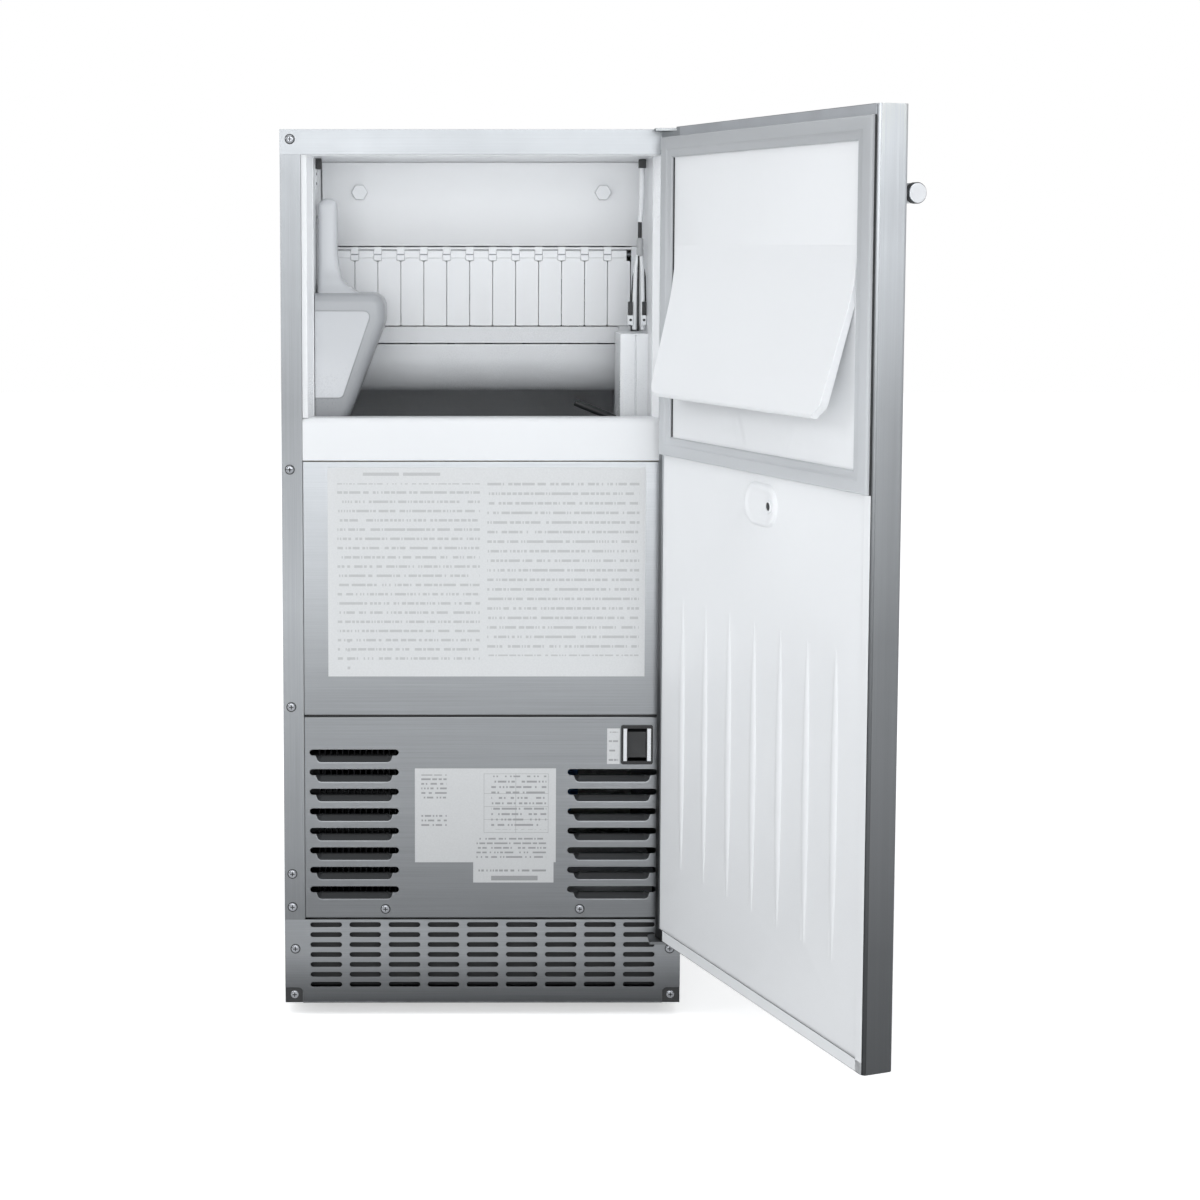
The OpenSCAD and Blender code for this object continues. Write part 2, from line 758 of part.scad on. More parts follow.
module fan_motor() {
    motor_y = [110, 150];
    color("dimgray") {
        rod_y(fan_at[0], motor_y, fan_at[1], 28);
        rod_y(fan_at[0], [92, motor_y[0]], fan_at[1], fan_shaft_r);
        for (a = [30, 150, 270]) translate([fan_at[0], 0, fan_at[1]]) rotate([0, a, 0]) {
            block([20, 77], [112, 115], [-6, 6]);
            block([74, 77], [92, 115], [-6, 6]);
        }
    }
}

module fan_blade() {
    blade_count = 5;
    color("black") difference() {
        union() {
            rod_y(fan_at[0], fan_hub_y, fan_at[1], 17);
            for (i = [0:blade_count - 1])
                translate([fan_at[0], 95, fan_at[1]]) rotate([0, i * 360 / blade_count, 0])
                    intersection() {
                        rotate([28, 0, 0]) block([10, fan_r], [-1, 1], [-19, 19]);
                        rod_y(0, [-30, 30], 0, fan_r);
                    }
        }
        rod_y(fan_at[0], [fan_hub_y[0] + 4, fan_hub_y[1] + 1], fan_at[1],
            fan_shaft_r + running_gap);
    }
}

module liquid_line() {
    pipe_r = 3;
    line_z = 15;
    drier_at = [40, 300];
    corner_y = 72;
    start_x = -70;
    color("peru") {
        rod_x([start_x, drier_at[0]], corner_y, line_z, pipe_r);
        translate([drier_at[0], corner_y, line_z]) sphere(pipe_r);
        rod_y(drier_at[0], [corner_y, drier_at[1]], line_z, pipe_r);
        translate([drier_at[0], drier_at[1], line_z]) sphere(pipe_r);
        rod_z(drier_at[0], drier_at[1], [line_z, shelf_z[1]], pipe_r);
        rod_z(drier_at[0], drier_at[1], [90, 190], 12);
        translate([drier_at[0], drier_at[1], 90]) sphere(12);
        translate([drier_at[0], drier_at[1], 190]) sphere(12);
    }
}

module water_valve() {
    x = valve_at[0];
    z = valve_at[1];
    color("royalblue") {
        block([x - 20, x + 20], [515, 545], [z - 20, z + 20]);
        rod_y(x, [545 - eps, cabinet_d + 14], z, valve_stub_r);
        rod_z(x, 530, [z + 20 - eps, z + 52], 16);
        block([x - 12, x + 12], [520, inner_back_y], [z - 30, z - 20 + eps]);
    }
}

module drain_spigot() {
    color("lightgray") difference() {
        union() {
            rod_z(drain_at[0], drain_at[1], [drain_z - drain_r, bin_floor_z - liner_t], drain_r);
            rod_y(drain_at[0], [drain_at[1], cabinet_d - 4], drain_z, drain_r);
            rod_y(drain_at[0], [cabinet_d - 4, drain_out_y], drain_z, drain_spigot_r);
        }
        rod_z(drain_at[0], drain_at[1], [drain_z, bin_floor_z], drain_bore_r);
        rod_y(drain_at[0], [drain_at[1], drain_out_y + 1], drain_z, drain_bore_r - 1);
    }
}

module control_box() {
    color("lightsteelblue") {
        block([60, 170], [105, 235], [1.5, 90]);
        block([57, 173], [102, 238], [90, 94]);
    }
}

module power_inlet() {
    x = gland_at[0];
    z = gland_at[1];
    color("black") difference() {
        union() {
            rod_y(x, [cabinet_d - 10, cabinet_d], z, 7.8);
            rod_y(x, [cabinet_d, cabinet_d + 4], z, 12);
            rod_y(x, [cabinet_d + 4, cabinet_d + 8], z, 8.5);
        }
        rod_y(x, [cabinet_d - 11, cabinet_d + 9], z, gland_bore_r);
    }
}

// ---------------------------------------------------------------- door

// One hinge: a leaf over or under the door, its tab on the cabinet, its pin and its rivets
module hinge_leaf(leaf_z, tab_x, tab_z, pin_z, rivets) {
    intersection() {
        block([hinge_at[0] - 20, half_w - 1], [hinge_at[1] - 9, 0], leaf_z);
        rod_z(hinge_at[0], hinge_at[1], leaf_z, notch_r - 2);
    }
    block(tab_x, [-hinge_tab_t, 0], tab_z);
    rod_z(hinge_at[0], hinge_at[1], pin_z, hinge_pin_r);
    for (r = rivets) rod_y(r[0], [-hinge_tab_t, 4], r[1], 2);
}

module door_hinges() {
    top_leaf = [door_top_z - 0.2 - hinge_leaf_t, door_top_z - 0.2];
    low_leaf = [door_bottom_z - 1 - hinge_leaf_t, door_bottom_z - 1];
    color("silver") {
        hinge_leaf(top_leaf, [163, half_w - 1], [805, top_leaf[1]], [800, top_leaf[1]],
            [[168, 812], [182, 812]]);
        hinge_leaf(low_leaf, [169, half_w - 1], [58, low_leaf[1]], [low_leaf[0], 92],
            [[173, 62.5], [183, 62.5]]);
    }
}

// Outline of the closed door seen from above
module door_outline(inset) {
    translate([0, (door_in_y + door_out_y) / 2])
        round_rect(door_w - 2 * inset, door_t - 2 * inset, 4 - inset);
}

module hinge_notch() {
    rod_z(hinge_at[0], hinge_at[1], [notch_z, door_top_z + 1], notch_r);
}

module door_skin() {
    window = door_half_w - skin_return;
    color("gainsboro") swung_open() difference() {
        union() {
            difference() {
                translate([0, 0, door_bottom_z]) linear_extrude(door_top_z - door_bottom_z)
                    door_outline(0);
                translate([0, 0, door_bottom_z + sheet_t])
                    linear_extrude(door_top_z - door_bottom_z - 2 * sheet_t)
                        door_outline(sheet_t);
                block([-window, window], [door_in_y - 5, 0],
                    [door_bottom_z + skin_return, door_top_z - skin_return]);
                hinge_notch();
            }
            intersection() {
                rod_z(hinge_at[0], hinge_at[1], [notch_z - sheet_t, notch_z], notch_r + 1);
                linear_extrude(door_top_z) door_outline(0.5);
            }
            rod_z(hinge_at[0], hinge_at[1], [796, notch_z], socket_r);
            rod_z(hinge_at[0], hinge_at[1], [door_bottom_z, 96], socket_r);
        }
        rod_z(hinge_at[0], hinge_at[1], [798, door_top_z], hinge_pin_r + running_gap);
        rod_z(hinge_at[0], hinge_at[1], [door_bottom_z - 1, 94], hinge_pin_r + running_gap);
    }
}

module door_foam() {
    color("khaki") swung_open() difference() {
        translate([0, 0, door_bottom_z + sheet_t])
            linear_extrude(door_top_z - door_bottom_z - 2 * sheet_t) intersection() {
                door_outline(sheet_t + 0.05);
                translate([-door_half_w, door_out_y])
                    square([door_w, door_liner_y - door_liner_t - door_out_y]);
            }
        rod_z(hinge_at[0], hinge_at[1], [notch_z - sheet_t, door_top_z + 1], notch_r + 1);
        rod_z(hinge_at[0], hinge_at[1], [796, door_top_z], socket_r);
        rod_z(hinge_at[0], hinge_at[1], [door_bottom_z - 1, 96], socket_r);
    }
}

module door_liner() {
    boss_at = [-10, 500];
    rib_top_z = 397;
    rib_low_z = 147;
    rib_h = 2.5;
    color("white") swung_open() difference() {
        union() {
            block([-door_liner_half_w, door_liner_half_w],
                [door_liner_y - door_liner_t, door_liner_y],
                [door_bottom_z + 4, door_top_z - 4]);
            for (i = [-3:3])
                intersection() {
                    rod_z(i * 45, door_liner_y - 4, [rib_low_z, rib_top_z], 4 + rib_h);
                    block([-200, 200], [door_liner_y - 1, 0], [0, 900]);
                }
            upright([door_liner_y - 1, door_liner_y + 3])
                translate(boss_at) round_rect(55, 36, 17.9);
        }
        rod_z(hinge_at[0], hinge_at[1], [notch_z - sheet_t, door_top_z + 1], notch_r + 1);
        rod_y(-27, [door_liner_y - 1, door_liner_y + 4], 500, 4);
    }
}

module door_gasket() {
    color("darkgray") swung_open() difference() {
        union() {
            block([-gasket_out[0], gasket_out[0]], [door_in_y, gasket_face_y],
                [gasket_out[1], gasket_out[2]]);
            block([-door_half_w + skin_return + 0.2, door_half_w - skin_return - 0.2],
                [door_liner_y, door_in_y + eps],
                [gasket_out[1], door_top_z - skin_return - 0.2]);
        }
        block([-gasket_in[0], gasket_in[0]], [door_liner_y - 1, 1],
            [gasket_in[1], gasket_in[2]]);
    }
}

module ice_deflector() {
    top_at = [door_liner_y - 3, 692];
    tip_at = [18.3, 586];
    top_half_t = 2.5;
    tip_r = 4;
    top_half_w = 157;
    tip_half_w = 149;
    along = (tip_at - top_at) / norm(tip_at - top_at);
    across = [-along[1], along[0]];
    outline = [[-top_half_w, 700], [-top_half_w, 690], [-tip_half_w, 575],
        [tip_half_w, 575], [top_half_w, 690], [top_half_w, 700]];
    color("white") swung_open() intersection() {
        lengthwise([-top_half_w, top_half_w]) {
            polygon([top_at + across * top_half_t, top_at - across * top_half_t,
                tip_at - across * tip_r, tip_at + across * tip_r]);
            translate(tip_at) circle(tip_r);
        }
        upright([door_liner_y, tip_at[0] + 10]) polygon(outline);
    }
}

module door_handle() {
    color("silver") swung_open()
        rod_x([-handle_half, handle_half], door_out_y - handle_reach, handle_z, handle_r);
}

module handle_posts() {
    color("silver") swung_open() difference() {
        for (x = [-post_x, post_x])
            rod_y(x, [door_out_y - handle_reach, door_out_y], handle_z, handle_r - 1);
        rod_x([-handle_half, handle_half], door_out_y - handle_reach, handle_z, handle_r);
    }
}

base_pan();
side_panel_left();
side_panel_right();
rear_panel();
top_panel();
divider_shelf();
bin_liner();
insulation_foam();
mid_front_panel();
service_panel();
kick_plate();
front_labels();
switch_housing();
switch_rocker();
front_screws();
levelling_feet();
evaporator_cover();
cover_knobs();
evaporator();
spray_manifold();
ice_chute();
sump_tray();
circulation_pump();
curtain_rod();
curtain_brackets();
slat(1);  // slat_01
slat(2);  // slat_02
slat(3);  // slat_03
slat(4);  // slat_04
slat(5);  // slat_05
slat(6);  // slat_06
slat(7);  // slat_07
slat(8);  // slat_08
slat(9);  // slat_09
slat(10);  // slat_10
slat(11);  // slat_11
slat(12);  // slat_12
slat(13);  // slat_13
probe_guard();
bin_probe();
scoop_peg();
ice_scoop();
compressor();
condenser_coil();
fan_shroud();
fan_motor();
fan_blade();
liquid_line();
water_valve();
drain_spigot();
control_box();
power_inlet();
door_hinges();
door_skin();
door_foam();
door_liner();
door_gasket();
ice_deflector();
handle_posts();
door_handle();
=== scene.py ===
"""Looks of the ice maker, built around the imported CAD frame. Metres, +X right, +Y back, +Z up."""

import json
import math

import bmesh
import bpy
from mathutils import Matrix, Vector


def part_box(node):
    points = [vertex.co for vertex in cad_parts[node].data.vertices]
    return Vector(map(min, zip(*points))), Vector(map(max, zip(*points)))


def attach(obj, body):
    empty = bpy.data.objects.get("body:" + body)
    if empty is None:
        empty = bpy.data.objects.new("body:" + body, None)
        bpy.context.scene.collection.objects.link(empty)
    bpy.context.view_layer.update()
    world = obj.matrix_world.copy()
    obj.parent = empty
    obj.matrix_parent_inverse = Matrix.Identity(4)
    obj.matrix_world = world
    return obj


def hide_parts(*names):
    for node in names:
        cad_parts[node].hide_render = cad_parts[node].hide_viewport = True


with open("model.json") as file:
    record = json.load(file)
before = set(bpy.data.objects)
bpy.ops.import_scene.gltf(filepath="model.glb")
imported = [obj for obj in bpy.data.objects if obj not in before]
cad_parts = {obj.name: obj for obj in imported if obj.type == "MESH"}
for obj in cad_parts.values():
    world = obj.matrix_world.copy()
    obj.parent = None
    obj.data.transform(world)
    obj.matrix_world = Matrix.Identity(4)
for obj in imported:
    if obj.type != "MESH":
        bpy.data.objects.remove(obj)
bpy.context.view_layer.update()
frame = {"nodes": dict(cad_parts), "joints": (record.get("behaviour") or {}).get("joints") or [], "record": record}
NODES = frame["nodes"]
MM = 0.001
CABINET_H = 0.824

# ---------------- camera

cam_data = bpy.data.cameras.new("camera")
cam = bpy.data.objects.new("camera", cam_data)
bpy.context.scene.collection.objects.link(cam)
cam.location = (-0.0284, -2.0093, 0.7131)
cam.rotation_euler = (math.radians(90 - 4.975), 0, math.radians(-0.09))
cam_data.lens = 65.07
cam_data.sensor_width = 36
cam_data.shift_x = 0.12
cam_data.shift_y = -0.134
cam_data.clip_start = 0.05
cam_data.clip_end = 60
bpy.context.scene.camera = cam

view = bpy.context.scene.view_settings
view.view_transform = "Standard"
view.look = "None"
view.exposure = 0.0


# ---------------- node graph helpers

class Graph:
    """A material under construction, with short calls for its nodes."""

    def __init__(self, name):
        self.mat = bpy.data.materials.new(name)
        self.mat.use_nodes = True
        self.tree = self.mat.node_tree
        self.tree.nodes.clear()
        self.out = self.tree.nodes.new("ShaderNodeOutputMaterial")
        self.shader = self.tree.nodes.new("ShaderNodeBsdfPrincipled")
        self.link(self.shader.outputs[0], self.out.inputs["Surface"])
        self.coord = self.tree.nodes.new("ShaderNodeTexCoord").outputs["Object"]

    def link(self, a, b):
        self.tree.links.new(a, b)

    def put(self, socket, value):
        if isinstance(value, bpy.types.NodeSocket):
            self.link(value, socket)
        else:
            socket.default_value = value

    def set(self, **values):
        for key, value in values.items():
            self.put(self.shader.inputs[key.replace("_", " ")], value)

    def stretch(self, scale, shift=(0, 0, 0)):
        n = self.tree.nodes.new("ShaderNodeMapping")
        self.link(self.coord, n.inputs["Vector"])
        n.inputs["Scale"].default_value = scale
        n.inputs["Location"].default_value = shift
        return n.outputs[0]

    def noise(self, vector, scale, detail=4.0, rough=0.55):
        n = self.tree.nodes.new("ShaderNodeTexNoise")
        self.link(vector, n.inputs["Vector"])
        n.inputs["Scale"].default_value = scale
        n.inputs["Detail"].default_value = detail
        n.inputs["Roughness"].default_value = rough
        return n.outputs[0]

    def math(self, op, a, b=0.0):
        n = self.tree.nodes.new("ShaderNodeMath")
        n.operation = op
        for socket, value in zip(n.inputs, (a, b)):
            self.put(socket, value)
        return n.outputs[0]

    def remap(self, value, a, b, lo, hi):
        n = self.tree.nodes.new("ShaderNodeMapRange")
        n.inputs["From Min"].default_value = a
        n.inputs["From Max"].default_value = b
        n.inputs["To Min"].default_value = lo
        n.inputs["To Max"].default_value = hi
        self.link(value, n.inputs["Value"])
        return n.outputs[0]

    def axis(self, letter):
        n = self.tree.nodes.new("ShaderNodeSeparateXYZ")
        self.link(self.coord, n.inputs[0])
        return n.outputs["XYZ".index(letter.upper())]

    def ramp(self, value, stops):
        n = self.tree.nodes.new("ShaderNodeValToRGB")
        self.link(value, n.inputs[0])
        e = n.color_ramp.elements
        while len(e) < len(stops):
            e.new(0.5)
        for item, (pos, col) in zip(e, stops):
            item.position = pos
            item.color = (*col, 1)
        return n.outputs[0]

    def mix(self, factor, a, b, mode="MIX"):
        n = self.tree.nodes.new("ShaderNodeMix")
        n.data_type = "RGBA"
        n.blend_type = mode
        self.put(n.inputs[0], factor)
        for socket, value in ((n.inputs[6], a), (n.inputs[7], b)):
            if isinstance(value, tuple):
                value = (*value[:3], 1)
            self.put(socket, value)
        return n.outputs[2]

    def grey(self, value):
        n = self.tree.nodes.new("ShaderNodeCombineColor")
        for s in n.inputs:
            self.link(value, s)
        return n.outputs[0]

    def bump(self, height, strength, distance):
        n = self.tree.nodes.new("ShaderNodeBump")
        n.inputs["Strength"].default_value = strength
        n.inputs["Distance"].default_value = distance
        self.link(height, n.inputs["Height"])
        self.link(n.outputs[0], self.shader.inputs["Normal"])


# ---------------- materials

def brushed(name, grain, grey_with_painted_light, rough=0.33, contrast=0.10):
    """Brushed stainless steel. grain is the direction of the lines; the third argument holds the stops of grey
    from low to high, the steel's grey with painted light that changes with height.
    """
    g = Graph(name)
    fine = {"x": (6, 900, 1100), "z": (1100, 1100, 6)}[grain]
    broad = {"x": (1.2, 60, 120), "z": (120, 120, 1.2)}[grain]
    lines = g.noise(g.stretch(fine), 1.0, 3.0, 0.65)
    bands = g.noise(g.stretch(broad), 1.0, 2.0, 0.5)
    smudge = g.noise(g.stretch((1, 1, 1), (3, 1, 7)), 7.0, 4.0, 0.6)
    height = g.remap(g.axis("z"), 0.0, CABINET_H, 0.0, 1.0)
    # painted light: the grey of the steel changes with height
    base = g.ramp(height, [(p, (v * 0.965, v, v * 1.035)) for p, v in grey_with_painted_light])
    shade = g.remap(lines, 0.25, 0.75, 1.0 - contrast, 1.0 + contrast)
    shade = g.math("MULTIPLY", shade, g.remap(bands, 0.3, 0.7, 0.975, 1.025))
    colour = g.mix(1.0, base, g.grey(shade), "MULTIPLY")
    g.set(Base_Color=colour, Metallic=1.0)
    r = g.math("ADD", g.remap(lines, 0.2, 0.8, rough - 0.05, rough + 0.06),
               g.remap(smudge, 0.35, 0.75, -0.03, 0.04))
    g.set(Roughness=r)
    g.bump(lines, 0.10, 0.0002)
    return g.mat


def plastic(name, colour, rough=0.28, grain=0.06, grain_scale=900.0, spread=0.015, specular=0.5,
            painted_shade_by_height=None):
    """Moulded plastic with a faint skin texture and slight unevenness of colour and gloss.

    The last argument is (low height, its factor, high height, its factor) of painted shade, a slow change of the
    colour with height.
    """
    g = Graph(name)
    skin = g.noise(g.stretch((1, 1, 1)), grain_scale, 2.0, 0.5)
    cloud = g.noise(g.stretch((1, 1, 1), (5, 2, 1)), 9.0, 3.0, 0.5)
    dark = tuple(c * (1 - spread) for c in colour)
    light = tuple(min(1.0, c * (1 + spread)) for c in colour)
    base = g.mix(g.remap(cloud, 0.3, 0.7, 0.0, 1.0), dark, light)
    if painted_shade_by_height:
        # painted shade: the colour is darkened by a factor that changes with height
        low, low_factor, high, high_factor = painted_shade_by_height
        painted_shade = g.remap(g.axis("z"), low, high, low_factor, high_factor)
        base = g.mix(1.0, base, g.grey(painted_shade), "MULTIPLY")
    g.set(Base_Color=base)
    g.set(Roughness=g.math("ADD", g.remap(cloud, 0.3, 0.7, rough - 0.03, rough + 0.04),
                           g.remap(skin, 0.3, 0.7, -0.02, 0.02)))
    g.shader.inputs["Specular IOR Level"].default_value = specular
    g.bump(skin, grain, 0.00006)
    return g.mat


def metal(name, colour, rough=0.3, flake=0.0, spread=0.08, metallic=1.0):
    """Plain or galvanised metal; flake adds the crystals of a zinc coating."""
    g = Graph(name)
    cloud = g.noise(g.stretch((1, 1, 1), (2, 8, 3)), 14.0, 5.0, 0.6)
    fine = g.noise(g.stretch((1, 1, 1)), 700.0, 2.0, 0.5)
    value = g.remap(cloud, 0.3, 0.7, 1.0 - spread, 1.0 + spread)
    if flake:
        v = g.tree.nodes.new("ShaderNodeTexVoronoi")
        v.inputs["Scale"].default_value = 60.0
        g.link(g.coord, v.inputs["Vector"])
        sep = g.tree.nodes.new("ShaderNodeSeparateColor")
        g.link(v.outputs["Color"], sep.inputs[0])
        value = g.math("MULTIPLY", value, g.remap(sep.outputs[0], 0.0, 1.0, 1 - flake, 1 + flake))
        rough_v = g.remap(sep.outputs[1], 0.0, 1.0, rough - 0.08, rough + 0.1)
    else:
        rough_v = g.remap(cloud, 0.3, 0.7, rough - 0.06, rough + 0.08)
    g.set(Base_Color=g.mix(1.0, colour, g.grey(value), "MULTIPLY"), Metallic=metallic)
    g.set(Roughness=rough_v)
    g.bump(fine, 0.08, 0.0001)
    return g.mat


def foam(name, colour):
    """Rigid foam with fine cells and darker blotches."""
    g = Graph(name)
    cells = g.noise(g.stretch((1, 1, 1)), 420.0, 4.0, 0.7)
    blotch = g.noise(g.stretch((1, 1, 1)), 18.0, 3.0, 0.6)
    low = tuple(c * 0.82 for c in colour)
    g.set(Base_Color=g.mix(g.remap(blotch, 0.3, 0.7, 0.0, 1.0), low, colour), Roughness=0.9)
    g.bump(cells, 0.5, 0.0006)
    return g.mat


def label(name):
    """Satin label with rows of plain dashes in place of print."""
    g = Graph(name)
    x, z = g.axis("x"), g.axis("z")

    def rows(x0, x1, z0, z1, pitch, word, fill, seed, weight):
        """Dashes in a rectangle: line pitch, dash length, share of ink, seed and line weight."""
        row = g.math("FLOOR", g.math("DIVIDE", z, pitch * MM))
        in_row = g.math("FRACT", g.math("DIVIDE", z, pitch * MM))
        n = g.tree.nodes.new("ShaderNodeTexWhiteNoise")
        n.noise_dimensions = "2D"
        c = g.tree.nodes.new("ShaderNodeCombineXYZ")
        shifted = g.math("ADD", x, g.math("MULTIPLY", row, 0.00137))
        g.link(g.math("FLOOR", g.math("DIVIDE", shifted, word * MM)), c.inputs[0])
        g.link(g.math("ADD", row, seed), c.inputs[1])
        g.link(c.outputs[0], n.inputs["Vector"])
        ink = g.math("LESS_THAN", n.outputs["Value"], fill)
        ink = g.math("MULTIPLY", ink, g.math("LESS_THAN", in_row, weight))
        for value, low, high in ((x, x0, x1), (z, z0, z1)):
            ink = g.math("MULTIPLY", ink, g.math("GREATER_THAN", value, low * MM))
            ink = g.math("MULTIPLY", ink, g.math("LESS_THAN", value, high * MM))
        return ink

    def bar(x0, x1, z0, z1):
        """A solid rectangle, for table lines and list marks."""
        ink = g.math("GREATER_THAN", x, x0 * MM)
        for op, value, limit in (("LESS_THAN", x, x1), ("GREATER_THAN", z, z0),
                                 ("LESS_THAN", z, z1)):
            ink = g.math("MULTIPLY", ink, g.math(op, value, limit * MM))
        return ink

    blocks = [
        rows(-112, -40, 502, 507, 8.4, 1.9, 0.80, 3, 0.40),
        rows(-136, -3, 326, 497, 8.7, 1.3, 0.66, 5, 0.27),
        rows(4, 146, 334, 504, 9.0, 1.3, 0.70, 9, 0.27),
        rows(-58, -34, 196, 221, 4.4, 1.5, 0.66, 2, 0.4),
        rows(-58, -34, 170, 184, 4.4, 1.5, 0.66, 8, 0.4),
        rows(8, 60, 168, 220, 5.2, 1.6, 0.62, 6, 0.36),
        rows(-6, 60, 140, 162, 4.4, 1.4, 0.66, 7, 0.38),
        rows(-4, 62, 126, 132, 4.4, 1.2, 0.7, 1, 0.45),
        rows(118.6, 127.4, 234, 262, 9.0, 0.8, 0.8, 4, 0.2),
    ]
    total = blocks[0]
    for b in blocks[1:]:
        total = g.math("MAXIMUM", total, b)
    frames = [bar(1, 62, z0, z0 + 0.35) for z0 in (165.0, 177.5, 190.0, 202.5, 221.5)]
    frames += [bar(x0, x0 + 0.35, 165, 221.5) for x0 in (1.0, 31.0, 61.6)]
    frames.append(bar(8, 52, 119.0, 123.5))
    frames += [bar(-127, -124.4, z0, z0 + 2.6) for z0 in (347, 338.5, 330, 321.5)]
    for f in frames:
        total = g.math("MAXIMUM", total, f)
    paper = g.noise(g.stretch((1, 1, 1)), 600.0, 3.0, 0.5)
    pale = g.mix(g.remap(paper, 0.3, 0.7, 0.0, 1.0), (0.60, 0.61, 0.615), (0.64, 0.65, 0.655))
    strength = g.remap(z, 0.24, 0.30, 0.62, 0.34)
    printed = g.mix(g.math("MULTIPLY", total, strength), pale, (0.16, 0.165, 0.17))
    # painted shade: the label gets darker towards its bottom
    shade = g.grey(g.remap(z, 0.10, 0.32, 0.72, 1.0))
    g.set(Base_Color=g.mix(1.0, printed, shade, "MULTIPLY"))
    g.set(Roughness=g.remap(paper, 0.3, 0.7, 0.38, 0.46))
    g.bump(paper, 0.05, 0.00005)
    return g.mat


# Tones of the steel as (share of the cabinet's height, grey); their change with height is painted light, darker
# towards the bottom and lighter towards the top
PANEL_GREY_AND_PAINTED_LIGHT = [(0.0, 0.15), (0.115, 0.195), (0.235, 0.275), (0.31, 0.285), (0.36, 0.29),
              (0.49, 0.42), (0.60, 0.47), (0.98, 0.47)]
KICK_GREY_AND_PAINTED_LIGHT = [(0.0, 0.09), (0.03, 0.175), (0.06, 0.29), (0.11, 0.30)]
STILE_GREY_AND_PAINTED_LIGHT = [(0.0, 0.15), (0.10, 0.20), (0.18, 0.26), (0.46, 0.37), (0.69, 0.235), (0.92, 0.265),
              (1.0, 0.29)]
DOOR_GREY_AND_PAINTED_LIGHT = [(0.0, 0.085), (0.20, 0.135), (0.50, 0.29), (0.72, 0.56), (0.87, 0.88), (1.0, 1.0)]

